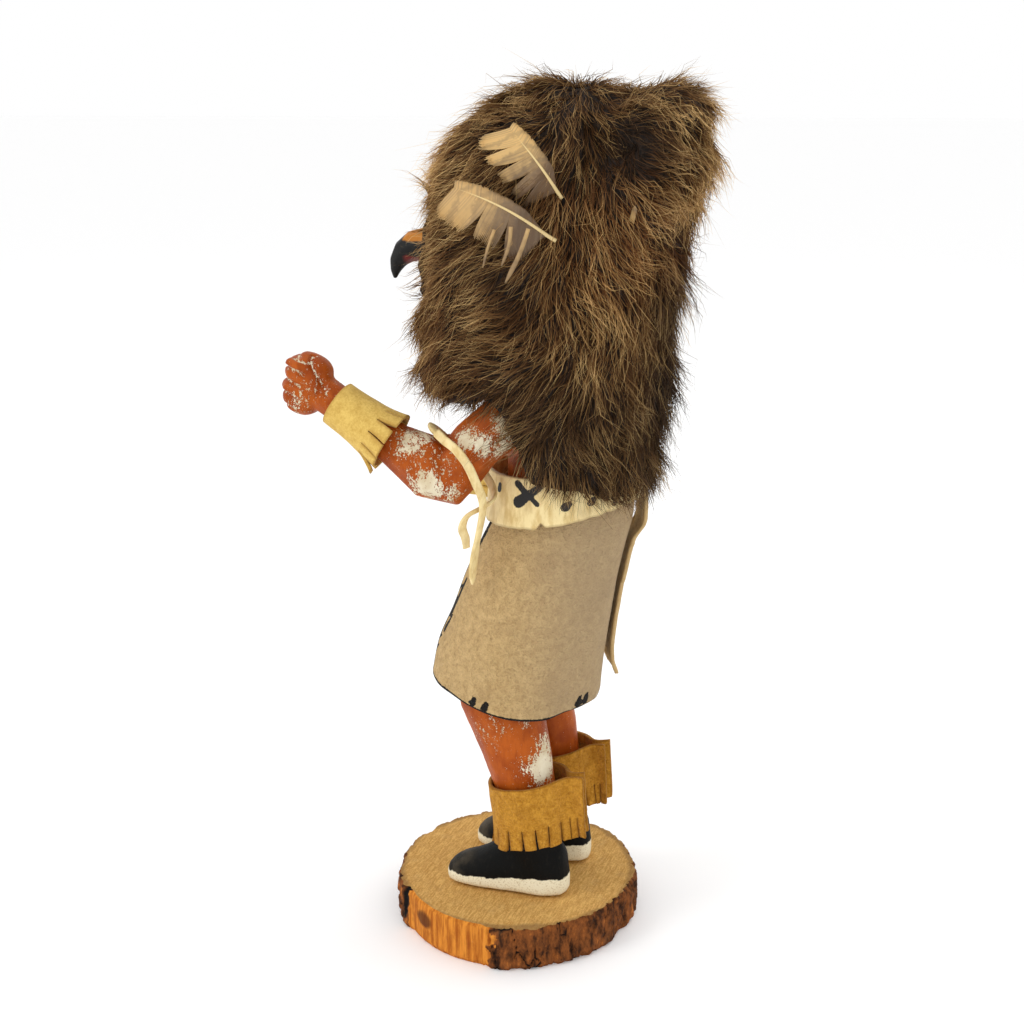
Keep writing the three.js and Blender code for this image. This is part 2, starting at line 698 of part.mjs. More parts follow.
const arms = [
  { line: limbLine(LEFT_ARM_ROWS), hand: LEFT_FIST },
  { line: limbLine(RIGHT_ARM_ROWS), hand: RIGHT_FIST },
];

const PAINT = { color: 0xa2502a, roughness: 0.55 };
const SUEDE = { color: 0xd9c294, roughness: 0.95 };
const GOLD_SUEDE = { color: 0xd3a14f, roughness: 0.95 };
const CREAM = { color: 0xe6d3a3, roughness: 0.7 };
const FUR = { color: 0x6b4f38, roughness: 0.9 };
const FEATHER = { color: 0xb79e78, roughness: 0.6 };
const BARK = { color: 0xb98a55, roughness: 0.9 };
const BLACK = { color: 0x16140f, roughness: 0.4 };

const doll = new THREE.Group();

function add(name, made, look) {
  const geometry = made.isBufferGeometry ? made : geometryOf(made);
  const mesh = new THREE.Mesh(geometry, new THREE.MeshStandardMaterial({ metalness: 0, ...look }));
  mesh.name = name;
  doll.add(mesh);
}

const [leftArm, rightArm] = arms.map(({ line, hand }) => biggest(arm(line, hand).subtract(torso(FIT_GAP))));
const cover = underFur();
const hood = [...cover, faceOpening()].reduce((fur, part) => fur.subtract(part), hoodForm());
const cape = [...cover, hoodForm(FIT_GAP)].reduce((fur, part) => fur.subtract(part), capeForm());
const beakForm = beak().subtract(head(FIT_GAP));

add("base", logSlice(), BARK);
add("figure", figure(), PAINT);
add("left_arm", leftArm, PAINT);
add("right_arm", rightArm, PAINT);
add("beak", beakForm, BLACK);
add("kilt", kilt(), SUEDE);
add("waistband", waistband(), CREAM);
add("back_sash", sash(), SUEDE);
add("left_wrist_cuff", wristCuff(arms[0].line), GOLD_SUEDE);
add("right_wrist_cuff", wristCuff(arms[1].line), GOLD_SUEDE);
add("left_legging", legging(1), GOLD_SUEDE);
add("right_legging", legging(-1), GOLD_SUEDE);
add("elbow_lace", lace(), CREAM);
add("fur_hood", biggest(hood), FUR);
add("fur_cape", biggest(cape), FUR);
for (const [place, sizes] of Object.entries(FEATHERS)) {
  for (const [name, side] of [["left", 1], ["right", -1]]) {
    const free = feather(sizes, side).subtract(hoodForm(FIT_GAP)).subtract(capeForm());
    add(`feather_${name}_${place}`, biggest(free), FEATHER);
  }
}

export default doll;
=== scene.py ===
"""A carved wooden kachina doll in suede, leather, fur and feathers, on a slice of log.

Metres, +Z up. The figure faces -Y and its left side is +X. Heights on the figure are millimetres
above the top of the log slice, as in the part's own layout.
"""
import logging
import math
import random
from dataclasses import dataclass, field
from enum import Enum
from typing import Callable, Iterable, Sequence

import bmesh
import bpy
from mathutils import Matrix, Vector, noise
from mathutils.bvhtree import BVHTree


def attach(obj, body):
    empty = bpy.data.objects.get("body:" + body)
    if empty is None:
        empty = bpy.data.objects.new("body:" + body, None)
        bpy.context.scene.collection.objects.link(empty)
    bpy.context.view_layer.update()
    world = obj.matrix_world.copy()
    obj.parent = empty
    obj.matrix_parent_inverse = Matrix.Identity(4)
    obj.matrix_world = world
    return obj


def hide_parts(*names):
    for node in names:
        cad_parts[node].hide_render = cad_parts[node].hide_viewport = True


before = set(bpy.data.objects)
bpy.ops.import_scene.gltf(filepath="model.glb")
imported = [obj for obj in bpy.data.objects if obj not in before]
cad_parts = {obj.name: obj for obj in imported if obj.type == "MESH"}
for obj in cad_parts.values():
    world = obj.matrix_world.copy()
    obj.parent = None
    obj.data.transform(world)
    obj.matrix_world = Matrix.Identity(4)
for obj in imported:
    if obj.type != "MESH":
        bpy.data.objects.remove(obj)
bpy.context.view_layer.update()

MM = 0.001
BASE_TOP = 16.0
TURN = 2.0 * math.pi
SUEDE_THICKNESS = 1.3
FIT_GAP = 0.35

log = logging.getLogger("kachina_doll")

Colour = tuple[float, float, float, float]


# Small maths


def spot(x: float, y: float, z: float) -> Vector:
    """A place on the figure, from millimetres above the top of the log slice."""
    return Vector((x, y, BASE_TOP + z)) * MM


def colour(red: int, green: int, blue: int) -> Colour:
    """A screen colour of 0 to 255 as the linear colour that shaders use."""
    parts = [v / 255.0 for v in (red, green, blue)]
    linear = [v / 12.92 if v <= 0.04045 else ((v + 0.055) / 1.055) ** 2.4 for v in parts]
    return (linear[0], linear[1], linear[2], 1.0)


def lerp(a: float, b: float, share: float) -> float:
    """A value between two others."""
    return a + (b - a) * share


def ease(low: float, high: float, value: float) -> float:
    """0 below low and 1 above high, with a smooth rise between; high may be the lower one."""
    t = min(1.0, max(0.0, (value - low) / (high - low)))
    return t * t * (3.0 - 2.0 * t)


def wavering(place: Vector, size: float) -> float:
    """A smooth random value from -1 to 1 with features of that size in millimetres.

    Args:
        place: the point in metres.
        size: the size of a feature in millimetres.

    Returns:
        The value at the point.
    """
    return noise.noise(place / (size * MM))


class Rows:
    """Smooth values down a list of rows, by a share from the first row to the last."""

    def __init__(self, *rows: Sequence[float]) -> None:
        """Keeps the rows, each with the same number of values."""
        self.rows = rows

    def at(self, share: float) -> list[float]:
        """The values at a share of the way from the first row to the last.

        Args:
            share: 0 at the first row and 1 at the last.

        Returns:
            One value for each column.
        """
        last = len(self.rows) - 1
        reach = min(max(share, 0.0), 1.0) * last
        i = min(int(reach), last)
        t = reach - i
        before, here = self.rows[max(i - 1, 0)], self.rows[i]
        after, beyond = self.rows[min(i + 1, last)], self.rows[min(i + 2, last)]
        found = []
        for p0, p1, p2, p3 in zip(before, here, after, beyond):
            v0, v1 = (p2 - p0) * 0.5, (p3 - p1) * 0.5
            cubic = (2 * p1 - 2 * p2 + v0 + v1) * t**3
            found.append(cubic + (-3 * p1 + 3 * p2 - 2 * v0 - v1) * t**2 + v0 * t + p1)
        return found

    def near(self, column: int, value: float) -> list[float]:
        """The values where one column, which only rises, is nearest to a value."""
        shares = [i / 80 for i in range(81)]
        best = min(shares, key=lambda share: abs(self.at(share)[column] - value))
        return self.at(best)


# Nodes


class Field:
    """A number that varies over a surface. Arithmetic on it adds Math nodes."""

    def __init__(self, graph: "Graph", socket: bpy.types.NodeSocket) -> None:
        """Wraps a socket of the graph."""
        self.graph = graph
        self.socket = socket

    def math(self, operation: str, *others: "Field | float") -> "Field":
        """The result of one Math node.

        Args:
            operation: the node's operation.
            others: the other values that it takes.

        Returns:
            The result as a field.
        """
        inputs = dict(enumerate((self, *others)))
        made = self.graph.node("ShaderNodeMath", {"operation": operation}, inputs)
        return Field(self.graph, made.outputs[0])

    def __add__(self, other: "Field | float") -> "Field":
        """The sum."""
        return self.math("ADD", other)

    __radd__ = __add__

    def __sub__(self, other: "Field | float") -> "Field":
        """The difference."""
        return self.math("SUBTRACT", other)

    def __rsub__(self, other: float) -> "Field":
        """A number less this field."""
        return self.math("MULTIPLY_ADD", -1.0, other)

    def __mul__(self, other: "Field | float") -> "Field":
        """The product."""
        return self.math("MULTIPLY", other)

    __rmul__ = __mul__

    def __rtruediv__(self, other: float) -> "Field":
        """A number over this field."""
        top = self.graph.node("ShaderNodeMath", {"operation": "DIVIDE"}, {0: other, 1: self})
        return Field(self.graph, top.outputs[0])

    def __pow__(self, other: "Field | float") -> "Field":
        """The power."""
        return self.math("POWER", other)

    def __abs__(self) -> "Field":
        """The size without its sign."""
        return self.math("ABSOLUTE")

    def __or__(self, other: "Field") -> "Field":
        """The larger of two masks."""
        return self.math("MAXIMUM", other)

    def rise(self, low: float, high: float) -> "Field":
        """0 below low and 1 above high, with a smooth rise between."""
        settings = {"interpolation_type": "SMOOTHSTEP"}
        inputs = {"Value": self, "From Min": low, "From Max": high}
        return Field(self.graph, self.graph.node("ShaderNodeMapRange", settings, inputs).outputs[0])

    def fall(self, low: float, high: float) -> "Field":
        """1 below low and 0 above high, with a smooth fall between."""
        return 1.0 - self.rise(low, high)


class Graph:
    """A node tree that nodes are added to from Python."""

    def __init__(self, tree: bpy.types.NodeTree) -> None:
        """Wraps the tree."""
        self.tree = tree

    @staticmethod
    def pick(sockets: Iterable[bpy.types.NodeSocket], key: int | str) -> bpy.types.NodeSocket:
        """The socket with that index, or the one in use with that name."""
        if isinstance(key, int):
            return sockets[key]
        return next(s for s in sockets if s.name == key and s.enabled)

    def node(self, kind: str, settings: dict | None = None, inputs: dict | None = None) -> bpy.types.Node:
        """Adds a node.

        Args:
            kind: the node's type.
            settings: its properties, set first.
            inputs: values or links of its sockets, by index or name.

        Returns:
            The node.
        """
        made = self.tree.nodes.new(kind)
        for name, value in (settings or {}).items():
            setattr(made, name, value)
        for key, value in (inputs or {}).items():
            self.feed(self.pick(made.inputs, key), value)
        return made

    def feed(self, socket: bpy.types.NodeSocket, value: object) -> None:
        """Links or sets a socket."""
        if isinstance(value, Field):
            self.tree.links.new(value.socket, socket)
        elif isinstance(value, bpy.types.NodeSocket):
            self.tree.links.new(value, socket)
        else:
            socket.default_value = value

    def out(self, made: bpy.types.Node, key: int | str = 0) -> Field:
        """One of a node's outputs as a field."""
        return Field(self, self.pick(made.outputs, key))

    def mix(self, share: Field, first: object, second: object) -> Field:
        """A colour between two others.

        Args:
            share: 0 for the first and 1 for the second.
            first: a colour or a link.
            second: a colour or a link.

        Returns:
            The colour.
        """
        inputs = {"Factor": share, "A": first, "B": second}
        return self.out(self.node("ShaderNodeMix", {"data_type": "RGBA"}, inputs), "Result")

    def turned(self, operation: str, *parts: object) -> Field:
        """A Vector Math result of links, vectors or, for SCALE, a vector and a number."""
        inputs = dict(enumerate(parts))
        if operation == "SCALE":
            inputs = {0: parts[0], "Scale": parts[1]}
        made = self.node("ShaderNodeVectorMath", {"operation": operation}, inputs)
        return self.out(made, 0)

    def mottle(self, where: Field, size: float, detail: float = 3.0, rough: float = 0.6) -> Field:
        """Smooth noise from 0 to 1 with features of that size in millimetres."""
        inputs = {"Vector": where, "Scale": 1.0 / (size * MM), "Detail": detail, "Roughness": rough}
        return self.out(self.node("ShaderNodeTexNoise", {}, inputs), 0)


class Shader(Graph):
    """A material's node tree, with its Principled shader."""

    def __init__(self, name: str) -> None:
        """Starts a material with that name."""
        self.material = bpy.data.materials.new(name)
        self.material.use_nodes = True
        super().__init__(self.material.node_tree)
        self.skin = self.tree.nodes["Principled BSDF"]
        self.where = self.out(self.node("ShaderNodeTexCoord"), "Object")

    def height(self) -> tuple[Field, Field, Field]:
        """The three parts of the place, in millimetres, the last above the top of the slice."""
        parts = self.node("ShaderNodeSeparateXYZ", {}, {0: self.where})
        x, y, z = (self.out(parts, i) * (1.0 / MM) for i in range(3))
        return x, y, z - BASE_TOP

    def stretched(self, x: float, y: float, z: float) -> Field:
        """The place, stretched by those factors, for grain and scratches."""
        return self.turned("MULTIPLY", self.where, (x, y, z))

    def painted(self, name: str) -> Field:
        """A value that the mesh carries."""
        return self.out(self.node("ShaderNodeAttribute", {"attribute_name": name}), "Fac")

    def raised(self, height: Field, depth: float, under: Field | None = None) -> Field:
        """A Bump node's normal, for relief of that depth in millimetres."""
        inputs = {"Height": height, "Distance": depth * MM}
        if under is not None:
            inputs["Normal"] = under
        return self.out(self.node("ShaderNodeBump", {}, inputs), 0)

    def wear(self, **sockets: object) -> None:
        """Sets the Principled shader's sockets, with underscores for spaces in their names."""
        for name, value in sockets.items():
            self.feed(self.pick(self.skin.inputs, name.replace("_", " ")), value)


@dataclass(frozen=True)
class Finish:
    """A surface finish, made into one material when it is first used."""

    name: str

    def dress(self, s: Shader) -> None:
        """Lays the finish on the shader."""
        raise NotImplementedError

    def material(self) -> bpy.types.Material:
        """The finish's material."""
        found = bpy.data.materials.get(self.name)
        if found is None:
            s = Shader(self.name)
            self.dress(s)
            found = s.material
        return found


@dataclass(frozen=True)
class CarvedPaint(Finish):
    """Orange-brown paint on carved wood, scraped through to a white ground coat.

    The mesh carries "scraped", 0 where the paint is whole and 1 or more where it is gone. With
    shoes, it is black below the ankles with a white sole, and the head is a pale mask with two
    round eyes. Heights and radii are in millimetres.
    """

    shoes: bool = False
    ankle: float = 26.0
    sole: float = 4.7
    neck: float = 196.0
    eye: tuple[float, float] = (8.6, 235.5)

    def dress(self, s: Shader) -> None:
        """Lays the paint, its scrapes, the shoes and the mask."""
        x, y, z = s.height()
        cloud = s.mottle(s.where, 9.0, 4.0)
        grain = s.mottle(s.stretched(1.0, 1.0, 0.16), 1.1, 4.0, 0.7)
        scratch = s.mottle(s.stretched(1.0, 0.8, 0.4), 1.3, 8.0, 0.8)
        speck = s.mottle(s.where, 0.55, 2.0, 0.5)
        paint = s.mix(cloud.rise(0.3, 0.7), colour(146, 62, 12), colour(180, 88, 24))
        paint = s.mix(grain.rise(0.45, 0.75) * 0.35, paint, colour(120, 42, 8))
        worn = s.painted("scraped") * 1.25 + (scratch - 0.5) * 5.0 + (speck - 0.5) * 2.2 - 0.88
        bare = worn.rise(0.0, 0.16) | ((speck - 0.7).rise(0.0, 0.05) * (cloud - 0.45).rise(0.0, 0.1) * 0.6)
        chalk = s.mix(cloud.rise(0.3, 0.7), colour(232, 222, 196), colour(205, 186, 150))
        shade = s.mix(bare, paint, chalk)
        rough = 0.42 + bare * 0.4
        if self.shoes:
            worn_black = s.mix(scratch.rise(0.5, 0.8), colour(6, 6, 5), colour(34, 30, 24))
            dust = y.fall(-18.0, -6.0) * cloud.rise(0.35, 0.65) * 0.6
            shoe = s.mix(dust, worn_black, colour(92, 82, 66))
            edge = z - y.rise(-16.0, 20.0) * 2.9 + (s.mottle(s.where, 3.0) - 0.5) * 2.6
            sole = s.mix(speck.rise(0.5, 0.75), colour(236, 228, 200), colour(202, 186, 150))
            shoe = s.mix(edge.fall(self.sole, self.sole + 0.5), shoe, sole)
            skin = z.rise(self.ankle, self.ankle + 1.0)
            shade = s.mix(skin, shoe, shade)
            rough = s.mix(skin, (0.6, 0.6, 0.6, 1.0), rough)
            mask = s.mix(cloud.rise(0.3, 0.7), colour(222, 208, 176), colour(196, 176, 138))
            off = (abs(x) - self.eye[0]) ** 2.0 + (z - self.eye[1]) ** 2.0
            before = y.fall(0.0, 1.0)
            mask = s.mix(off.fall(13.0, 15.0) * before, mask, colour(18, 16, 15))
            mask = s.mix(off.fall(2.4, 3.2) * before, mask, colour(205, 188, 150))
            shade = s.mix(z.rise(self.neck, self.neck + 2.0), shade, mask)
        relief = s.raised(scratch * 0.6 + grain * 0.4 - bare * 0.35, 0.22)
        s.wear(Base_Color=shade, Roughness=rough, Normal=relief, Specular_IOR_Level=0.12)


@dataclass(frozen=True)
class BeakPaint(Finish):
    """Black beak paint, yellow-orange along the top and dark red below, scuffed."""

    def dress(self, s: Shader) -> None:
        """Lays the three paints and the scuffs."""
        _, y, z = s.height()
        cloud = s.mottle(s.where, 3.0, 4.0)
        scuff = s.mottle(s.stretched(1.0, 0.35, 1.0), 0.8, 5.0, 0.7)
        black = s.mix(scuff.rise(0.56, 0.72) * 0.5, colour(9, 8, 7), colour(66, 58, 44))
        ridge = (z + (cloud - 0.5) * 2.4).rise(228.0, 228.8) * y.rise(-40.6, -39.4)
        shade = s.mix(ridge, black, s.mix(cloud, colour(206, 134, 34), colour(160, 92, 22)))
        below = (z + (cloud - 0.5) * 2.0).fall(222.8, 223.6) * y.rise(-40.5, -38.5)
        shade = s.mix(below, shade, colour(104, 22, 14))
        rough = 0.4 + scuff * 0.3
        s.wear(Base_Color=shade, Roughness=rough, Normal=s.raised(scuff, 0.12), Specular_IOR_Level=0.25)


@dataclass(frozen=True)
class Suede(Finish):
    """Napped hide with stains, a darker handled edge, black strokes of ink and, when asked, painted shade
    that greys it towards the back.

    The mesh carries "ink", the distance in millimetres to the edge of the strokes, below 0 inside
    them, and "rim", the distance in millimetres to the cut edge.
    """

    light: Colour = (0.6, 0.45, 0.25, 1.0)
    dark: Colour = (0.4, 0.28, 0.15, 1.0)
    stain: Colour = (0.3, 0.22, 0.14, 1.0)
    nap: float = 0.3
    painted_back_shade: bool = False

    def dress(self, s: Shader) -> None:
        """Lays the nap, the stains, the painted shade towards the back, the ink and the edge."""
        _, y, _ = s.height()
        pile = s.mottle(s.where, 0.7, 3.0, 0.7)
        curl = s.mottle(s.where, 2.4, 4.0, 0.65)
        patch = s.mottle(s.where, 14.0, 4.0, 0.55)
        shade = s.mix((curl * 0.5 + pile * 0.5).rise(0.3, 0.7), self.dark, self.light)
        shade = s.mix(patch.rise(0.5, 0.75) * 0.45, shade, self.stain)
        if self.painted_back_shade:
            # Painted shade: the hide greys towards the back, away from the light.
            shade = s.mix(y.rise(2.0, 34.0) * 0.55, shade, colour(166, 146, 120))
        rim = s.painted("rim")
        shade = s.mix((rim + curl * 0.8).fall(0.5, 1.3) * 0.5, shade, self.stain)
        ink = (s.painted("ink") + (pile - 0.5) * 0.7 + (curl - 0.5) * 0.9).fall(-0.1, 0.15)
        shade = s.mix(ink, shade, s.mix(pile, colour(16, 14, 13), colour(40, 35, 31)))
        relief = s.raised(pile, self.nap, s.raised(curl, self.nap * 1.6))
        s.wear(Base_Color=shade, Roughness=0.95, Normal=relief, Sheen_Weight=0.06, Specular_IOR_Level=0.1)


@dataclass(frozen=True)
class SmoothLeather(Finish):
    """Cream grain leather with soft creases, rubbed patches and black ink strokes."""

    light: Colour = (0.7, 0.58, 0.36, 1.0)
    dark: Colour = (0.52, 0.4, 0.22, 1.0)

    def dress(self, s: Shader) -> None:
        """Lays the grain, the creases and the ink."""
        pore = s.mottle(s.where, 0.5, 2.0, 0.5)
        crease = s.mottle(s.stretched(1.0, 1.0, 0.4), 3.2, 5.0, 0.65)
        patch = s.mottle(s.where, 11.0, 3.0)
        shade = s.mix(crease.rise(0.4, 0.68), self.light, self.dark)
        shade = s.mix(patch.rise(0.5, 0.72) * 0.5, shade, colour(196, 170, 122))
        shade = s.mix(s.painted("rim").fall(0.2, 1.0) * 0.55, shade, colour(158, 130, 84))
        ink = (s.painted("ink") + (crease - 0.5) * 0.9 + (pore - 0.5) * 0.4).fall(-0.08, 0.12)
        shade = s.mix(ink, shade, colour(17, 15, 14))
        relief = s.raised(pore, 0.06, s.raised(crease, 0.25))
        s.wear(Base_Color=shade, Roughness=0.5 + patch * 0.25, Normal=relief)


@dataclass(frozen=True)
class LogWood(Finish):
    """A slice of log: sawn top, bark, and a stretch of bare orange wood with a knot.

    The mesh carries "bare", 1 on the bare wood, "crack", 1 down in the bark's cracks, where painted shade
    darkens it, and "top".
    """

    knot: tuple[float, float] = (-21.6, -6.4)
    rim: float = 41.8

    def dress(self, s: Shader) -> None:
        """Lays the sawn face, the wood and the bark."""
        x, y, z = s.height()
        fine = s.mottle(s.where, 0.6, 3.0, 0.7)
        cloud = s.mottle(s.where, 7.0, 5.0, 0.6)
        around = (x * x + y * y).math("SQRT")
        rings = ((around + (cloud - 0.5) * 5.0) * 1.15).math("SINE")
        saw = s.mottle(s.stretched(0.15, 1.0, 1.0), 0.7, 3.0, 0.6)
        cut = (fine * 0.5 + saw * 0.5).rise(0.36, 0.66)
        sawn = s.mix(cut, colour(180, 134, 68), colour(222, 178, 106))
        sawn = s.mix(rings.rise(0.2, 1.0) * 0.12, sawn, colour(160, 112, 54))
        sawn = s.mix(cloud.rise(0.52, 0.78) * 0.35, sawn, colour(176, 142, 92))
        near_rim = (around + cloud * 3.0).rise(self.rim, self.rim + 2.4) * 0.6
        sawn = s.mix(near_rim, sawn, colour(112, 80, 48))
        grain = s.mottle(s.stretched(1.0, 1.0, 0.1), 1.6, 5.0, 0.65)
        wood = s.mix(grain.rise(0.35, 0.7), colour(222, 142, 52), colour(158, 82, 22))
        wood = s.mix(cloud.rise(0.5, 0.75) * 0.5, wood, colour(132, 66, 20))
        knot = (y - self.knot[0]) ** 2.0 * 0.6 + (z - self.knot[1]) ** 2.0
        wood = s.mix((knot + (cloud - 0.5) * 12.0).fall(3.0, 13.0) * 0.85, wood, colour(82, 42, 22))
        flake = s.mottle(s.stretched(1.0, 1.0, 0.45), 3.6, 6.0, 0.7)
        bark = s.mix(flake.rise(0.35, 0.62), colour(44, 24, 12), colour(136, 78, 36))
        grey = s.mottle(s.where, 12.0, 3.0)
        bark = s.mix(grey.rise(0.58, 0.78) * 0.3, bark, colour(104, 78, 54))
        bark = s.mix(flake.rise(0.58, 0.7) * 0.85, bark, colour(196, 118, 50))
        # Painted shade: near black down in the bark's cracks.
        bark = s.mix(s.painted("crack").rise(0.3, 0.85), bark, colour(14, 10, 8))
        side = s.mix(s.painted("bare").rise(0.42, 0.58), bark, wood)
        shade = s.mix(s.painted("top").rise(0.4, 0.6), side, sawn)
        relief = s.raised(fine * 0.6 + saw * 0.4, 0.3, s.raised(flake, 0.5))
        s.wear(Base_Color=shade, Roughness=0.9, Normal=relief, Specular_IOR_Level=0.15)


@dataclass(frozen=True)
class GuardHair(Finish):
    """Coarse hair, dark at the root and paler at the tip.

    The strands carry "along", 0 at the root and 1 at the tip, "tone", at random, "pale", how light the tips
    are, with painted shade in it, "rust", how red, and "dark", painted shade that darkens the whole strand.
    """

    def dress(self, s: Shader) -> None:
        """Lays the colour along the strand."""
        along, tone = s.painted("along"), s.painted("tone")
        pale, rust, dark = s.painted("pale"), s.painted("rust"), s.painted("dark")
        body = s.mix(tone, colour(50, 34, 18), colour(112, 79, 44))
        body = s.mix(rust * 0.6, body, colour(118, 66, 28))
        tip = s.mix(tone.rise(0.15, 0.95), colour(176, 132, 76), colour(248, 212, 146))
        tip = s.mix(rust * 0.45, tip, colour(192, 128, 62))
        # Painted shade: the whole strand darkened behind and under the back lobe, in the shadow patch and in
        # the hollows.
        body = s.mix(dark * 0.85, body, colour(30, 23, 17))
        shade = s.mix(along.rise(0.0, 0.4), colour(26, 18, 10), body)
        # Tips turn pale along the strand by the pale map, which carries painted shade as well.
        lit = along.rise(0.25, 0.95) * (pale * 1.15 + (tone - 0.5) * 1.3).math("MAXIMUM", 0.0)
        shade = s.mix(lit.math("MINIMUM", 1.0), shade, tip)
        s.wear(Base_Color=shade, Roughness=0.6, Specular_IOR_Level=0.12)


@dataclass(frozen=True)
class Underfur(Finish):
    """The dark woolly hide under the guard hairs."""

    def dress(self, s: Shader) -> None:
        """Lays dark wool with a fibrous relief."""
        strand = s.mottle(s.stretched(1.0, 1.0, 0.2), 1.0, 5.0, 0.7)
        cloud = s.mottle(s.where, 8.0, 3.0)
        shade = s.mix(strand.rise(0.4, 0.75), colour(24, 17, 12), colour(66, 47, 32))
        shade = s.mix(cloud.rise(0.5, 0.75) * 0.5, shade, colour(40, 28, 20))
        s.wear(Base_Color=shade, Roughness=0.95, Normal=s.raised(strand, 0.8))


@dataclass(frozen=True)
class FeatherVane(Finish):
    """Cream to grey-taupe barbs with faint bars and a pale quill.

    The mesh carries "along" from base to tip, "out" from quill to edge, "barb", at random for each
    barb, and "quill", 1 on the quill.
    """

    base: Colour = (0.2, 0.15, 0.1, 1.0)
    tip: Colour = (0.6, 0.45, 0.28, 1.0)

    def dress(self, s: Shader) -> None:
        """Lays the vane's colour and the quill's."""
        along, out = s.painted("along"), s.painted("out")
        cloud = s.mottle(s.where, 3.0, 4.0)
        barb = s.painted("barb")
        shade = s.mix((along + (cloud - 0.5) * 0.35).rise(0.3, 0.8), self.base, self.tip)
        bars = (along * 34.0 + out * 4.0 + cloud * 5.0).math("SINE")
        shade = s.mix(bars.rise(0.3, 1.0) * 0.3, shade, colour(92, 74, 56))
        shade = s.mix(barb.rise(0.4, 1.0) * 0.4, shade, colour(120, 100, 76))
        shade = s.mix(s.painted("quill").rise(0.4, 0.6), shade, colour(226, 200, 142))
        s.wear(Base_Color=shade, Roughness=0.5)


PAINT = CarvedPaint("carved_paint")
FIGURE_PAINT = CarvedPaint("figure_paint", shoes=True)
BEAK = BeakPaint("scuffed_beak_paint")
PALE_SUEDE = Suede(
    "napped_pale_suede", colour(222, 189, 134), colour(180, 146, 97), colour(176, 144, 100),
    nap=0.9, painted_back_shade=True,
)
SASH_SUEDE = Suede(
    "napped_sash_suede", colour(232, 206, 156), colour(200, 170, 118), colour(184, 150, 100), nap=0.3,
)
GOLD_SUEDE = Suede(
    "napped_gold_suede", colour(214, 156, 58), colour(162, 106, 24), colour(140, 88, 20), nap=0.6,
)
CUFF_SUEDE = Suede(
    "napped_cuff_suede", colour(228, 194, 108), colour(196, 158, 78), colour(170, 126, 56), nap=0.2,
)
CREAM = SmoothLeather("smooth_cream_leather", colour(240, 218, 160), colour(212, 182, 118))
WOOD = LogWood("bark_and_sawn_wood")
HAIR = GuardHair("guard_hair")
HIDE = Underfur("underfur")
UPPER_VANE = FeatherVane("upper_feather", colour(106, 80, 54), colour(218, 180, 116))
LOWER_VANE = FeatherVane("lower_feather", colour(104, 80, 56), colour(206, 168, 108))


# Meshes


class Slot(Enum):
    """The record's material slots."""

    LOG = "log_wood"
    PAINT = "painted_wood"
    BEAK = "beak_paint"
    PALE_SUEDE = "pale_suede"
    GOLD_SUEDE = "gold_suede"
    CREAM = "cream_leather"
    FUR = "fur"
    FEATHER = "feather"


@dataclass
class Skin:
    """Vertices, faces and values on the vertices, built up before they become an object."""

    points: list[Vector] = field(default_factory=list)
    faces: list[tuple[int, ...]] = field(default_factory=list)
    values: dict[str, list[float]] = field(default_factory=dict)

    def point(self, place: Vector, **values: float) -> int:
        """Adds a vertex and its values.

        Args:
            place: where it is, in metres.
            values: the numbers that it carries, by name.

        Returns:
            Its index.
        """
        self.points.append(place)
        for name, value in values.items():
            self.values.setdefault(name, []).append(value)
        return len(self.points) - 1

    def grid(self, rows: Sequence[Sequence[int]], closed: bool = False) -> None:
        """Adds the quads between rows of indices; closed joins each row's end to its start."""
        for low, high in zip(rows, rows[1:]):
            count = len(low)
            for i in range(count if closed else count - 1):
                j = (i + 1) % count
                self.faces.append((low[i], low[j], high[j], high[i]))

    def tube(self, rings: Sequence[Sequence[int]]) -> None:
        """Adds the tube through rings of indices, with both ends filled."""
        self.grid(rings, closed=True)
        self.faces.append(tuple(rings[0]))
        self.faces.append(tuple(rings[-1]))

    def made(self, name: str, finish: Finish) -> bpy.types.Object:
        """The object, with its faces turned outwards.

        Args:
            name: the object's name.
            finish: its finish.

        Returns:
            The object, linked to the scene.
        """
        mesh = bpy.data.meshes.new(name)
        mesh.from_pydata([tuple(p) for p in self.points], [], self.faces)
        for key, numbers in self.values.items():
            mesh.attributes.new(key, "FLOAT", "POINT").data.foreach_set("value", numbers)
        tidy(mesh, 1e-7)
        return placed(name, mesh, finish)


def tidy(mesh: bpy.types.Mesh, apart: float) -> None:
    """Merges doubles, turns the faces outwards and shades them smooth.

    Args:
        mesh: the mesh to change.
        apart: how close two vertices are merged, in metres.
    """
    work = bmesh.new()
    work.from_mesh(mesh)
    bmesh.ops.remove_doubles(work, verts=work.verts, dist=apart)
    bmesh.ops.recalc_face_normals(work, faces=work.faces)
    for face in work.faces:
        face.smooth = True
    work.to_mesh(mesh)
    work.free()


def placed(name: str, mesh: bpy.types.Mesh, finish: Finish | None) -> bpy.types.Object:
    """Puts a mesh in the scene as an object with a finish."""
    piece = bpy.data.objects.new(name, mesh)
    bpy.context.scene.collection.objects.link(piece)
    if finish is not None:
        mesh.materials.clear()
        mesh.materials.append(finish.material())
    return piece


def baked(piece: bpy.types.Object) -> bpy.types.Mesh:
    """The piece's mesh with its modifiers worked out; the piece itself is removed."""
    graph = bpy.context.evaluated_depsgraph_get()
    mesh = bpy.data.meshes.new_from_object(piece.evaluated_get(graph), depsgraph=graph)
    bpy.data.objects.remove(piece)
    return mesh


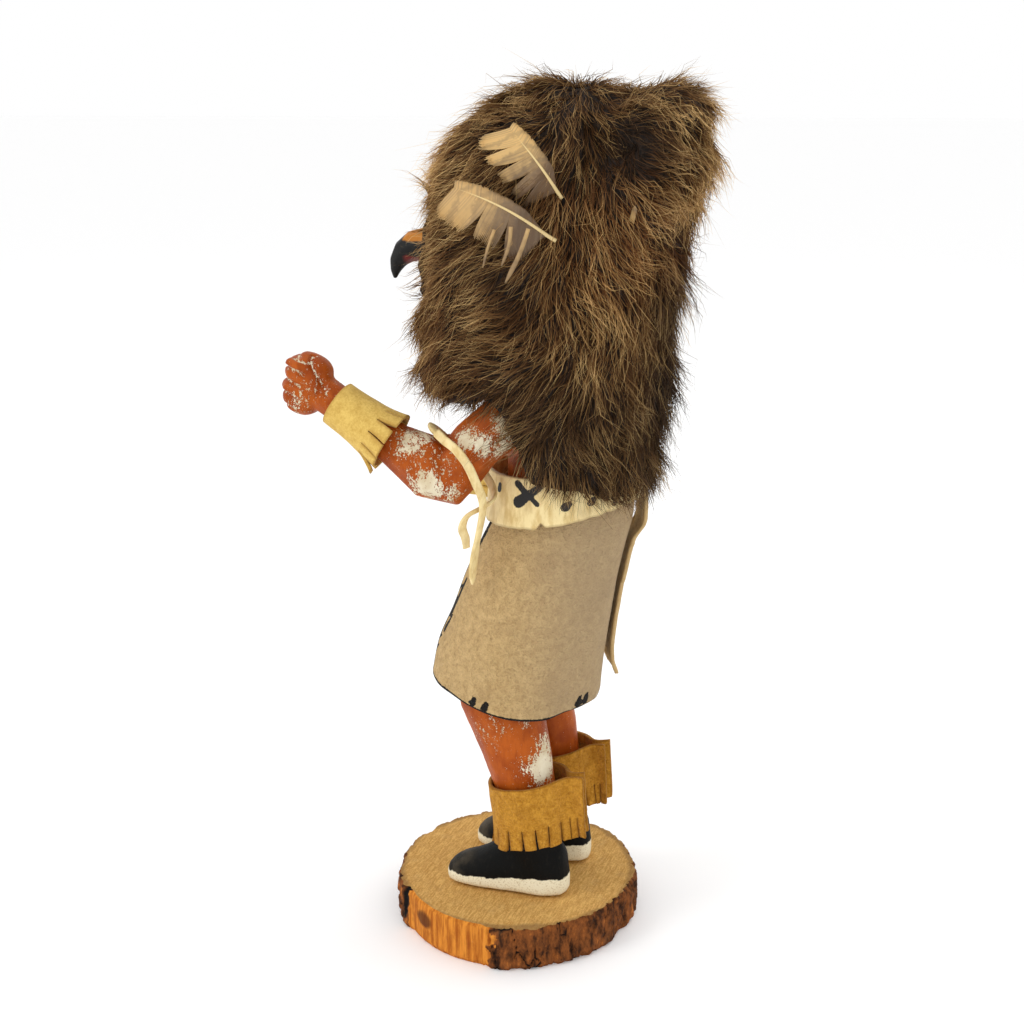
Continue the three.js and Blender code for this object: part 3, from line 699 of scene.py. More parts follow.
def cad_copy(nodes: Sequence[str], voxel: float, rounds: int) -> bpy.types.Mesh:
    """A fine, smoothed copy of one CAD node's mesh, or of several as one.

    Args:
        nodes: the nodes' names.
        voxel: the size of its new faces, in millimetres.
        rounds: how many times it is smoothed.

    Returns:
        The new mesh.
    """
    work = bmesh.new()
    for node in nodes:
        work.from_mesh(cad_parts[node].data)
    mesh = bpy.data.meshes.new(nodes[0] + "_copy")
    work.to_mesh(mesh)
    work.free()
    tidy(mesh, 1e-6)
    piece = placed(nodes[0] + "_copy", mesh, None)
    remesh = piece.modifiers.new("remesh", "REMESH")
    remesh.mode = "VOXEL"
    remesh.voxel_size = voxel * MM
    smoothing = piece.modifiers.new("smooth", "SMOOTH")
    smoothing.factor = 0.5
    smoothing.iterations = rounds
    return baked(piece)


def finished(piece: bpy.types.Object, slot: Slot, *nodes: str) -> bpy.types.Object:
    """Hands a piece to the frame: it rides on the root, and stands for the nodes."""
    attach(piece, "root")
    if nodes:
        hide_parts(*nodes)
    piece.data.calc_loop_triangles()
    log.info("%s: %d triangles", piece.name, len(piece.data.loop_triangles))
    return piece


@dataclass
class CutSheet:
    """A bent sheet of leather with a thickness, cut into strips along its lower edge."""

    place: Callable[[float, float, float, int], Vector]
    columns: int
    rows: int
    strips: int = 1
    depth: float = 0.0
    slit: float = 0.0
    marks: Callable[[float, float], float] = lambda across, up: 9.0
    edge: Callable[[float, float], float] = lambda across, up: 9.0

    def skin(self) -> Skin:
        """The closed skin of the sheet, with its ink and its distance to the cut edge."""
        made = Skin()
        found: dict[tuple[int, int, int, int], int] = {}
        parted = [row / self.rows < self.depth for row in range(self.rows + 1)]

        def index(out: int, strip: int, column: int, row: int) -> int:
            joined = column == self.columns and strip < self.strips - 1 and not parted[row]
            if joined:
                strip, column = strip + 1, 0
            key = (out, strip, column, row)
            if key not in found:
                found[key] = self.vertex(made, out, strip, column, row, parted[row])
            return found[key]

        for out in (0, 1):
            for strip in range(self.strips):
                made.grid([
                    [index(out, strip, column, row) for column in range(self.columns + 1)]
                    for row in range(self.rows + 1)
                ])
        for strip in range(self.strips):
            for row in (0, self.rows):
                made.grid([[index(out, strip, c, row) for c in range(self.columns + 1)] for out in (0, 1)])
            for column, outermost in ((0, strip == 0), (self.columns, strip == self.strips - 1)):
                rows = [r for r in range(self.rows + 1) if outermost or parted[r] or parted[r - 1]]
                made.grid([[index(out, strip, column, row) for row in rows] for out in (0, 1)])
        return made

    def vertex(self, made: Skin, out: int, strip: int, column: int, row: int, parted: bool) -> int:
        """Adds one vertex of the sheet and gives its index."""
        up = row / self.rows
        across = (strip + column / self.columns) / self.strips
        rim = self.edge(across, up)
        if parted:
            narrow = self.slit * (0.5 + 0.8 * (1.0 - up / self.depth))
            middle = (strip + 0.5) / self.strips
            across = middle + (across - middle) * (1.0 - narrow * self.strips)
            rim = min(rim, 3.0 * min(column, self.columns - column) / self.columns)
        place = self.place(across, up, float(out), strip)
        return made.point(place, ink=self.marks(across, up), rim=rim)


@dataclass
class Stroke:
    """One ink stroke on a sheet: a line with a half width at each end, in millimetres."""

    start: tuple[float, float]
    end: tuple[float, float]
    wide: tuple[float, float]

    def away(self, s: float, t: float) -> float:
        """The distance from a point to the stroke's edge, below 0 inside it."""
        ax, ay = self.start
        bx, by = self.end[0] - ax, self.end[1] - ay
        long = bx * bx + by * by
        share = 0.0 if long == 0 else min(1.0, max(0.0, ((s - ax) * bx + (t - ay) * by) / long))
        reach = math.hypot(s - ax - share * bx, t - ay - share * by)
        return reach - lerp(self.wide[0], self.wide[1], share)


# The log slice


@dataclass
class LogSlice:
    """The slice of log that the figure stands on."""

    radius: float = 44.5
    thickness: float = 16.0
    bark: float = 2.2
    around: int = 420
    levels: int = 26
    mean: float = 44.0
    bare_from: float = math.radians(-42)
    bare_to: float = math.radians(2)
    split_at: float = math.radians(-50)
    knot_at: float = -0.52
    knot_up: float = 0.6

    def bareness(self, angle: float) -> float:
        """1 on the stretch where the bark is gone."""
        begun = ease(self.bare_from - 0.1, self.bare_from, angle)
        return begun * (1.0 - ease(self.bare_to, self.bare_to + 0.1, angle))

    def barkless(self, angle: float, share: float) -> float:
        """1 where the bare wood shows, with a ragged end where the bark begins again."""
        at = Vector((angle * self.mean, share * self.thickness, 0.0)) * MM
        ragged = 0.09 * wavering(at, 5.0) + 0.06 * wavering(at, 1.8)
        end = self.bare_to + 0.1 + ragged
        start = self.bare_from - 0.05 + 0.4 * ragged
        return ease(start - 0.03, start, angle) * (1.0 - ease(end, end + 0.03, angle))

    def rim(self, angle: float, share: float) -> tuple[float, float]:
        """The slice's radius and how deep a crack is there.

        Args:
            angle: round the slice, in radians.
            share: 0 at the underside and 1 at the top.

        Returns:
            The radius in millimetres, and the crack from 0 to 1.
        """
        bare = self.bareness(angle)
        oval = 0.012 * math.cos(2 * angle + 0.6) + 0.008 * math.cos(3 * angle)
        plates = 0.5 + 0.3 * math.sin(9 * angle + 1) + 0.2 * math.sin(23 * angle)
        radius = self.radius * (1 + oval) - bare * self.bark - (1 - bare) * plates * self.bark * 0.5
        x, y = math.cos(angle) * self.mean, math.sin(angle) * self.mean
        at = Vector((x, y, share * self.thickness * 0.45)) * MM
        near, far = noise.voronoi(at / (6.5 * MM))[0][:2]
        crack = (1.0 - ease(0.0, 0.08, far - near)) * (1.0 - bare) * ease(-0.3, 0.25, wavering(at, 9.0))
        split = math.exp(-(((angle - self.split_at - 0.05 * share) / 0.05) ** 2)) * ease(0.05, 0.3, share)
        crack = max(crack, split)
        rough = noise.fractal(at / (3.4 * MM), 0.9, 2.0, 4)
        chips = noise.cell(at / (3.1 * MM) + Vector((rough, 0, 0)))
        relief = (1 - bare) * (0.8 * rough + 0.35 * chips - 1.1 * crack) + bare * (0.16 * rough - 1.9 * split)
        over, up = (angle - self.knot_at) * self.mean, (share - self.knot_up) * self.thickness
        knot = math.exp(-((over / 3.6) ** 2) - ((up / 2.8) ** 2))
        relief += bare * 0.8 * knot
        soft = 0.9 * (1 - ease(0.0, 0.12, share)) + 0.9 * ease(0.9, 1.0, share)
        return radius + relief - soft, crack

    def build(self) -> None:
        """Makes the slice: side, sawn top and flat underside."""
        made = Skin()
        rings = []
        for level in range(self.levels + 1):
            share = level / self.levels
            ring = []
            for i in range(self.around):
                angle = TURN * i / self.around
                turned = angle if angle <= math.pi else angle - TURN
                radius, crack = self.rim(turned, share)
                x, y = radius * math.cos(angle), radius * math.sin(angle)
                place = Vector((x, y, share * self.thickness)) * MM
                bare = self.barkless(turned, share)
                ring.append(made.point(place, bare=bare, crack=crack, top=float(level == self.levels)))
            rings.append(ring)
        made.grid(rings, closed=True)
        for outer, top in ((rings[0], 0.0), (rings[-1], 1.0)):
            inner = outer
            for step in (0.965, 0.8, 0.5):
                ring = []
                for i in outer:
                    edge = made.points[i]
                    place = Vector((edge.x * step, edge.y * step, edge.z))
                    ring.append(made.point(place, bare=0.0, crack=0.0, top=top))
                made.grid([inner, ring], closed=True)
                inner = ring
            made.faces.append(tuple(inner))
        finished(made.made("log_slice", WOOD), Slot.LOG, "base")


# The carved wood


@dataclass
class Scrape:
    """A place where the paint is scraped: its middle, reach and strength."""

    x: float
    y: float
    z: float
    reach: float
    strength: float = 1.0

    def at(self, place: Vector) -> float:
        """How strongly a point is scraped."""
        away = (place - spot(self.x, self.y, self.z)).length / (self.reach * MM)
        return self.strength * math.exp(-away * away)


@dataclass(frozen=True)
class Fist:
    """The cuts between the fingers of a closed hand, and the one beside its thumb."""

    side: float
    middle: tuple[float, float, float]
    forward: tuple[float, float, float]
    finger: float = 4.3
    lowest: float = -8.4
    thumb: tuple = ((0.0, 10.3), (-9.8, 0.8))

    def groove(self, place: Vector) -> float:
        """How deep the cuts are at a point, in millimetres."""
        off = (place - spot(*self.middle)) / MM
        if off.length > 20.0:
            return 0.0
        ahead = Vector(self.forward)
        up = Vector((0.0, ahead.z, -ahead.y))
        a, b = off.dot(ahead), off.dot(up)
        count = (b - self.lowest) / self.finger
        near = abs(count - round(count)) * self.finger
        within = ease(-0.4, 0.0, count) * (1.0 - ease(4.0, 4.4, count))
        fingers = 1.15 * math.exp(-((near / 0.7) ** 2)) * ease(-3.0, 0.5, a) * within
        line = Stroke(self.thumb[0], self.thumb[1], (0.0, 0.0)).away(a, b)
        beside = 0.9 * math.exp(-((line / 0.65) ** 2)) * ease(0.0, 2.0, off.x * self.side)
        return max(fingers, beside)


LEFT_FIST = Fist(1.0, (36.6, -60.2, 184.0), (0.0, -0.9436, 0.3312))
RIGHT_FIST = Fist(-1.0, (-34.0, -47.0, 140.0), (0.0, -0.9854, 0.1701))


@dataclass
class Carving:
    """One carved and painted piece of wood, from its CAD node."""

    node: str
    name: str
    finish: Finish
    slot: Slot
    voxel: float
    rounds: int
    marks: float = 0.12
    scrapes: list[Scrape] = field(default_factory=list)
    fist: "Fist | None" = None

    def build(self) -> None:
        """Makes the piece: remeshed, smoothed, with knife marks and scrapes."""
        mesh = cad_copy([self.node], self.voxel, self.rounds)
        moved = []
        worn = []
        for vertex in mesh.vertices:
            place = vertex.co.copy()
            cut = wavering(place, 5.0) * self.marks + wavering(place, 1.6) * self.marks * 0.3
            groove = self.fist.groove(place) if self.fist else 0.0
            moved.extend(place + vertex.normal * (cut - groove) * MM)
            worn.append(max([0.8 * groove, *(s.at(place) for s in self.scrapes)]))
        mesh.vertices.foreach_set("co", moved)
        mesh.attributes.new("scraped", "FLOAT", "POINT").data.foreach_set("value", worn)
        mesh.shade_smooth()
        finished(placed(self.name, mesh, self.finish), self.slot, self.node)


def carvings() -> list[Carving]:
    """The carved pieces: figure, arms and beak."""
    legs = [
        Scrape(18.5, 17, 51, 7.2, 1.6), Scrape(16.5, 17, 58, 6.0, 1.0), Scrape(25, -3, 62, 8.0, 0.5),
        Scrape(25.4, 3, 68, 6, 0.5), Scrape(22, 11.5, 68.5, 3.5, 0.7),
        Scrape(-14, 10, 70, 8.0, 0.7), Scrape(-18, -6, 60, 7.0, 0.6), Scrape(24, 2, 78, 7, 0.45),
    ]
    left = [
        Scrape(33, 9.5, 174, 6.5, 1.2), Scrape(33.5, 7.5, 166.5, 5.5, 1.1),
        Scrape(37.4, -3.5, 169.6, 4.6, 1.4), Scrape(36.8, 1.5, 168.2, 4.2, 1.3),
        Scrape(39.5, -22, 167.5, 6.0, 1.2), Scrape(35.5, -20, 168, 5, 1.2),
        Scrape(42, -15.5, 154.6, 6.4, 1.35), Scrape(38, -9, 152.5, 5.0, 0.9),
        Scrape(41, -12, 161.5, 8, 0.6), Scrape(42, -61, 179.5, 6, 0.7), Scrape(41, -56, 185, 9, 0.42),
    ]
    right = [
        Scrape(-36, 4, 170, 8, 0.7), Scrape(-41, -2, 150, 7, 0.75), Scrape(-34, -10, 132, 7, 0.6),
        Scrape(-36, -48, 143, 9, 0.5),
    ]
    return [
        Carving("figure", "carved_figure", FIGURE_PAINT, Slot.PAINT, 1.35, 8, 0.14, legs),
        Carving("left_arm", "carved_left_arm", PAINT, Slot.PAINT, 0.6, 12, 0.1, left, LEFT_FIST),
        Carving("right_arm", "carved_right_arm", PAINT, Slot.PAINT, 0.75, 7, 0.1, right, RIGHT_FIST),
        Carving("beak", "carved_beak", BEAK, Slot.BEAK, 0.45, 8, 0.06),
    ]


# Suede and leather


@dataclass
class Waist:
    """Sizes of the layers round the waist, in millimetres."""

    mid: float = 18.2
    wide: float = 20.9
    deep: float = 21.1
    kilt_fit: float = 0.4
    band_thickness: float = 1.1
    flare: float = 0.9

    @property
    def band_in(self) -> float:
        """How far the band's inner face is out from the waist."""
        return self.kilt_fit + SUEDE_THICKNESS + FIT_GAP

    @property
    def band_out(self) -> float:
        """How far the band's outer face is out from the waist."""
        return self.band_in + self.band_thickness


WAIST = Waist()
KILT_START = math.radians(-66)
KILT_ROWS = Rows(
    (69.5, 1.0, 28.4, 27.8),
    (84, 3.0, 28.0, 27.0),
    (98, 6.4, 26.8, 25.2),
    (112, 10.0, 25.2, 23.8),
    (126, 14.4, 23.0, 22.6),
    (138, WAIST.mid - 0.4, WAIST.wide + 0.5, WAIST.deep + 0.6),
    (150, WAIST.mid, WAIST.wide + WAIST.kilt_fit, WAIST.deep + WAIST.kilt_fit),
)


@dataclass
class Kilt:
    """The suede kilt, wrapped once and a little more, with an inked border and drop marks."""

    start: float = KILT_START
    sweep: float = math.radians(398)
    lap: float = math.radians(75)
    rise: float = 3.6
    front_rise: float = 6.8
    hem_round: float = 28.0
    tall: float = 80.0

    def place(self, across: float, up: float, out: float, _strip: int) -> Vector:
        """Where a point of the sheet lies."""
        z, mid, wide, deep = KILT_ROWS.at(up)
        angle = self.start + across * self.sweep
        over = 1.0 - ease(self.lap * 0.6, self.lap, across * self.sweep)
        fold = (1 - up) ** 1.5 * (0.55 * math.sin(5 * angle + 0.5) + 0.35 * math.sin(9 * angle + 2))
        fold += 0.35 * math.sin(3 * angle + 8 * up) * math.sin(math.pi * up)
        lapped = over * (1 - 0.15 * up) * (SUEDE_THICKNESS + FIT_GAP)
        away = lapped + out * SUEDE_THICKNESS + fold
        here = Vector((math.cos(angle), math.sin(angle), up)) * 0.03
        away += 0.3 * wavering(here, 7.0) * (1 - up)
        y = mid + (deep + away) * math.sin(angle)
        wave = 0.5 * wavering(here, 9.0) * (1 - up) ** 4
        lift = self.rise * math.sin(angle) ** 2 + self.front_rise * ease(0.75, -0.8, math.sin(angle))
        return spot((wide + away) * math.cos(angle), y, z + lift * (1 - up) + wave)

    def strokes(self) -> list[Stroke]:
        """The drops above the hem and the front border, by millimetres across and up."""
        made = []
        for degrees in (-13, -4, 64, 70, 150, 159, 232, 240):
            s = (math.radians(degrees) - self.start) * self.hem_round
            made.append(Stroke((s, 2.2), (s + 0.6, 4.4), (1.35, 0.8)))
        blots = (
            (47, 57, 2.2, 1.5), (55, 66, 2.6, 1.2), (24, 31, 3.2, 1.6),
            (31, 39, 4.6, 1.3), (18, 24, 4.2, 1.2),
        )
        for low, high, s, wide in blots:
            made.append(Stroke((s - 0.8, low), (s + 0.8, high), (wide, wide * 0.6)))
        for low, high, wide in ((0.0, 30.0, 1.25), (30.0, 46.0, 0.75), (46.0, 62.0, 0.9)):
            made.append(Stroke((0.3, low), (0.3, high), (wide, wide * 0.8)))
        for t in (9, 13, 28, 33, 55, 59, 64):
            made.append(Stroke((0.0, t), (3.4, t + 2.4), (1.0, 0.4)))
        return made

    def build(self) -> None:
        """Makes the kilt."""
        strokes = self.strokes()

        def ink(across: float, up: float) -> float:
            s, t = across * self.sweep * self.hem_round, up * self.tall
            hem = t - (0.75 + 0.5 * math.sin(s / 17) + 0.35 * math.sin(s / 6))
            return min(hem, *(stroke.away(s, t) for stroke in strokes))

        def edge(across: float, up: float) -> float:
            return min(up * self.tall, across * self.sweep * self.hem_round)

        sheet = CutSheet(self.place, columns=196, rows=70, marks=ink, edge=edge)
        piece = finished(sheet.skin().made("suede_kilt", PALE_SUEDE), Slot.PALE_SUEDE, "kilt")


@dataclass
class Waistband:
    """The cream leather band round the top of the kilt, with ink marks."""

    low: float = 139.0
    high: float = 155.5
    front_slope: float = 0.085
    back_slope: float = 0.27
    swell: float = SUEDE_THICKNESS + 3 * FIT_GAP
    round: float = 24.0
    around: int = 300
    rows: int = 30

    def place(self, angle: float, share: float, out: float) -> Vector:
        """Where a point of the band lies."""
        off = angle - KILT_START
        turned = abs(math.atan2(math.sin(off), math.cos(off)))
        over = (1 - ease(0.6, 1.6, turned)) * self.swell
        lap = (1 - share) * 0.4
        more = lerp(WAIST.band_in, WAIST.band_out, out) + over + WAIST.flare * (1 - share) + lap
        here = Vector((math.cos(angle), math.sin(angle), share * 0.7)) * 0.024
        more += 0.28 * wavering(here, 6.0) * math.sin(math.pi * share)
        y = WAIST.mid + (WAIST.deep + more) * math.sin(angle)
        slope = self.front_slope if y < WAIST.mid else self.back_slope
        low = self.low + slope * (y - WAIST.mid) * (1 - 0.5 * share)
        ragged = 0.45 * wavering(here, 4.0) * (1 - share) ** 3
        nick = -2.2 * (1 - share) ** 4 * math.exp(-(((angle + 0.02) / 0.045) ** 2))
        z = low + share * (self.high - self.low) + ragged - nick
        return spot((WAIST.wide + more) * math.cos(angle), y, z)

    def strokes(self) -> list[Stroke]:
        """The ink marks, by millimetres round from the left side and up from the lower edge."""
        made = []
        for turn in (0.0, 180.0):
            def at(degrees: float, up: float) -> tuple[float, float]:
                return (math.radians(degrees + turn) * self.round, up)

            made += [
                Stroke(at(-38.5, 11.8), at(-38, 13.2), (1.1, 0.9)),
                Stroke(at(-18.5, 8.9), at(1.5, 15.4), (1.9, 0.8)),
                Stroke(at(-20, 14.8), at(-4, 8.2), (1.1, 0.7)),
                Stroke(at(17, 6.4), at(18.6, 6.9), (1.7, 1.3)),
                Stroke(at(36, 5.8), at(37.6, 6.6), (1.5, 1.2)),
                Stroke(at(55, 2.8), at(59, 6.4), (1.0, 0.6)),
            ]
        return made

    def build(self) -> None:
        """Makes the band as one closed ring."""
        made = Skin()
        strokes = self.strokes()
        walls = []
        for out, order in ((1.0, range(self.rows + 1)), (0.0, reversed(range(self.rows + 1)))):
            for row in order:
                share = row / self.rows
                ring = []
                for i in range(self.around):
                    angle = TURN * i / self.around - math.pi / 2
                    s, t = angle * self.round, share * (self.high - self.low)
                    ink = min(stroke.away(s, t) for stroke in strokes)
                    ring.append(made.point(self.place(angle, share, out), ink=ink, rim=t))
                walls.append(ring)
        walls.append(walls[0])
        made.grid(walls, closed=True)
        piece = finished(made.made("leather_waistband", CREAM), Slot.CREAM, "waistband")


@dataclass
class BackSash:
    """The end of the suede sash that hangs down the back from under the fur."""

    width: float = 14.0
    tall: float = 70.0
    turn: float = math.radians(28)
    rows: Rows = Rows(
        (77.5, 4.0), (83, 2.0), (92, 1.1), (108, 1.1), (125, 1.0), (140, 0.8), (150, 0.6),
    )

    def place(self, across: float, up: float, out: float, _strip: int) -> Vector:
        """Where a point of the strip lies."""
        z, off = self.rows.at(up)
        near = KILT_ROWS.near(0, z)
        over_band = ease(128, 137, z)
        surface = near[1] + near[3] + SUEDE_THICKNESS + off
        band = WAIST.mid + WAIST.deep + WAIST.band_out + WAIST.flare + 2 * FIT_GAP
        base = lerp(surface, max(surface, band), over_band)
        x = (across - 0.5) * self.width * (1 - 0.12 * up)
        wave = 0.25 * wavering(Vector((x, 0, z)) * MM, 6.0)
        reach = base - 0.0096 * x * x + out * SUEDE_THICKNESS + wave - near[1]
        cos, sin = math.cos(self.turn), math.sin(self.turn)
        return spot(x * cos - reach * sin, near[1] + reach * cos + x * sin, z)

    def build(self) -> None:
        """Makes the strip."""
        def edge(across: float, up: float) -> float:
            return min(up * self.tall, min(across, 1 - across) * self.width)

        sheet = CutSheet(self.place, columns=26, rows=90, edge=edge)
        piece = finished(sheet.skin().made("suede_back_sash", SASH_SUEDE), Slot.PALE_SUEDE, "back_sash")


class LimbLine:
    """The middle line of an arm, with the ring frame round it."""

    def __init__(self, *rows: Sequence[float]) -> None:
        """Keeps rows of x, y, z and radius."""
        self.rows = Rows(*rows)

    def centre(self, share: float) -> Vector:
        """The point of the line."""
        x, y, z, _ = self.rows.at(share)
        return spot(x, y, z)

    def radius(self, share: float) -> float:
        """The arm's radius in millimetres."""
        return self.rows.at(share)[3]

    def place(self, share: float, angle: float, radius: float) -> Vector:
        """A point round the line, by its share, its angle and its radius in millimetres."""
        ahead, behind = self.centre(min(1.0, share + 1e-3)), self.centre(max(0.0, share - 1e-3))
        along = (ahead - behind).normalized()
        side = (Vector((1, 0, 0)) - along * along.x).normalized()
        up = along.cross(side)
        return self.centre(share) + (side * math.cos(angle) + up * math.sin(angle)) * radius * MM


LEFT_ARM = LimbLine(
    (12, 15, 184, 9), (24, 9, 177.5, 9.3), (29.5, -3.6, 166.4, 8.9), (32, -12.7, 154.6, 9.4),
    (33.6, -18.8, 159.2, 10.2), (35.2, -30, 165.8, 7.4), (36, -41, 172.8, 6.3), (36.4, -54, 181, 6.2),
)
RIGHT_ARM = LimbLine(
    (-12, 15, 184, 9), (-25, 11, 176, 9.3), (-31, 6.5, 159, 9.2), (-32.5, 4, 147, 9.2),
    (-33.2, -5, 142.4, 8.9), (-33.6, -16, 140.6, 7.4), (-34, -27, 139.8, 6.3), (-34, -41, 139.5, 6.2),
)


@dataclass
class WristCuff:
    """A suede cuff that widens towards the elbow and is slit there."""

    name: str
    node: str
    line: LimbLine
    seed: int
    back: float = 0.725
    front: float = 0.94
    strips: int = 11
    depth: float = 0.36
    slit: float = 0.011
    tall: float = 21.0
    around: float = 52.0
    seam: float = math.radians(8)
    peeled: int = -1
    peel: float = 1.9

    def build(self) -> None:
        """Makes the cuff."""
        rng = random.Random(self.seed)
        flick = [rng.uniform(-0.1, 0.7) for _ in range(self.strips)]
        if self.peeled >= 0:
            flick[self.peeled] = self.peel
        sway = [rng.uniform(-0.012, 0.012) for _ in range(self.strips)]

        def place(across: float, up: float, out: float, strip: int) -> Vector:
            share = lerp(self.back, self.front, up)
            free = max(0.0, 1.0 - up / self.depth)
            across += sway[strip] * free * free
            angle = math.pi + self.seam + across * (TURN - 2 * self.seam)
            flare = 1.5 * (1 - up) ** 1.4
            inner = self.line.radius(share) + FIT_GAP + flare + flick[strip] * free**1.6
            at = self.line.place(share, angle, inner)
            crinkle = 0.22 * wavering(at, 5.0)
            return self.line.place(share, angle, inner + out * SUEDE_THICKNESS + crinkle)

        def edge(across: float, up: float) -> float:
            return min(up * self.tall, (1 - up) * self.tall, min(across, 1 - across) * self.around)

        sheet = CutSheet(place, 8, 44, self.strips, self.depth, self.slit, edge=edge)
        piece = finished(sheet.skin().made(self.name, CUFF_SUEDE), Slot.GOLD_SUEDE, self.node)


@dataclass
class Legging:
    """A suede wrap round an ankle whose two ends stand out together behind, slit below."""

    name: str
    node: str
    side: float
    seed: int
    strips: int = 20
    depth: float = 0.38
    slit: float = 0.0065
    tall: float = 24.0
    around: float = 92.0
    back_lift: float = 0.2
    ankle: float = 13.8
    path: Rows = Rows(
        (1.9, 20.5), (2.2, 14.5), (8.6, 8.6), (11.6, 0.5), (8.9, -8.8), (0.0, -12.9),
        (-8.9, -8.8), (-11.6, 0.5), (-8.6, 8.6), (-1.2, 14.5), (-0.9, 19.8),
    )
    rows: Rows = Rows((20.5, 11.6, 0.985), (31, 10.6, 0.99), (43, 9.2, 1.02))

    def build(self) -> None:
        """Makes the wrap."""
        rng = random.Random(self.seed)
        flick = [rng.uniform(-0.25, 1.1) for _ in range(self.strips)]
        sway = [rng.uniform(-0.006, 0.006) for _ in range(self.strips)]

        def place(across: float, up: float, out: float, strip: int) -> Vector:
            z, mid, scale = self.rows.at(up)
            free = max(0.0, 1.0 - up / self.depth)
            across = min(1.0, max(0.0, across + sway[strip] * free * free))
            x, y = self.path.at(across)
            x1, y1 = self.path.at(min(1.0, across + 1e-3))
            x0, y0 = self.path.at(max(0.0, across - 1e-3))
            tx, ty = x1 - x0, y1 - y0
            size = math.hypot(tx, ty)
            tx, ty = tx / size, ty / size
            flare = 0.7 * (1 - up) ** 2 * (0.5 + 0.5 * math.cos(11 * TURN * across))
            here = Vector((x, y, z)) * MM + Vector((0, 0, self.seed))
            away = flare + out * SUEDE_THICKNESS + flick[strip] * free**1.6 + 0.25 * wavering(here, 5.0)
            px = self.side * (x * scale - ty * away)
            py = y * scale + tx * away
            height = z + self.back_lift * (py + 5) + 0.3 * wavering(here, 8.0)
            return spot(px + self.side * self.ankle, mid + py, height)

        def edge(across: float, up: float) -> float:
            return min(up * self.tall, (1 - up) * self.tall, min(across, 1 - across) * self.around)

        sheet = CutSheet(place, 8, 44, self.strips, self.depth, self.slit, edge=edge)
        piece = finished(sheet.skin().made(self.name, GOLD_SUEDE), Slot.GOLD_SUEDE, self.node)


@dataclass
class ElbowLace:
    """The flat cream lace wound over the left elbow, its end cut to a leaf."""

    diameter: float = 3.0
    thickness: float = 1.3
    rings: int = 220
    sides: int = 12
    points: tuple = (
        (29.4, -5.2, 118.5), (30, -4.6, 124.5), (31, -3.4, 131), (32.6, -1.4, 138), (34.4, 0.6, 145.5),
        (37.4, 1.6, 151), (40.4, 0.6, 156.8), (41.8, -1.6, 162.6), (41.6, -5.6, 167.2), (39, -10.8, 169.5),
        (35, -16.2, 171.8), (29, -18.4, 171.4), (24, -16.2, 166.8), (20, -10.4, 160), (21.2, -2.6, 153),
        (26.4, 1.4, 148.2), (32, -0.6, 146.2), (35.2, -4.4, 143.8), (34.8, -6.4, 139.6),
        (33.6, -5.8, 135.6), (33.4, -5.6, 132.4),
    )

    def build(self) -> None:
        """Makes the lace."""
        line = Rows(*self.points)
        made = Skin()
        rings = []
        path = [spot(*line.at(i / self.rings)) for i in range(self.rings + 1)]
        for i, centre in enumerate(path):
            share = i / self.rings
            along = (path[min(i + 1, self.rings)] - path[max(i - 1, 0)]).normalized()
            inward = self.inward(centre)
            inward = (inward - along * inward.dot(along)).normalized()
            across = along.cross(inward)
            leaf = 1.0 + 0.55 * math.sin(math.pi * min(1.0, share / 0.12)) * (share < 0.12)
            tip = min(1.0, 0.15 + share / 0.035)
            half = self.diameter / 2 * leaf * tip * (1 + 0.06 * wavering(centre, 3.0))
            thick = self.thickness / 2 * min(1.0, 0.4 + share / 0.03)
            ring = []
            for k in range(self.sides):
                angle = TURN * k / self.sides
                c, s = math.cos(angle), math.sin(angle)
                wide = math.copysign(abs(c) ** 0.6, c) * half
                deep = math.copysign(abs(s) ** 0.6, s) * thick
                ring.append(made.point(centre + (across * wide + inward * deep) * MM, ink=9.0, rim=9.0))
            rings.append(ring)
        made.tube(rings)
        piece = finished(made.made("elbow_lace_strip", CREAM), Slot.CREAM, "elbow_lace")

    @staticmethod
    def inward(centre: Vector) -> Vector:
        """The way from the lace to the middle line of the arm, near the elbow."""
        shares = [0.25 + i * 0.02 for i in range(26)]
        nearest = min((LEFT_ARM.centre(share) for share in shares), key=lambda p: (p - centre).length)
        return nearest - centre


# Fur


@dataclass(frozen=True)
class Patch:
    """A soft patch on both sides of the fur: its middle, its reach and its strength."""

    y: float
    z: float
    wide: float
    tall: float
    strength: float = 1.0

    def at(self, y: float, z: float) -> float:
        """How strong the patch is at a place."""
        back, up = (y - self.y) / self.wide, (z - self.z) / self.tall
        return self.strength * math.exp(-(back**2) - (up**2))


STREAK = Patch(37, 215, 8, 15, 0.8)
SHADOW = Patch(30, 184, 22, 12, 0.45)
WARM = Patch(38, 234, 18, 22, 0.6)
# Hollows where the hide is set deeper and painted shade darkens the hair.
HOLLOWS = (Patch(42, 262, 11, 7), Patch(12, 227, 6, 8, 0.7), Patch(58, 233, 5, 5, 0.6))


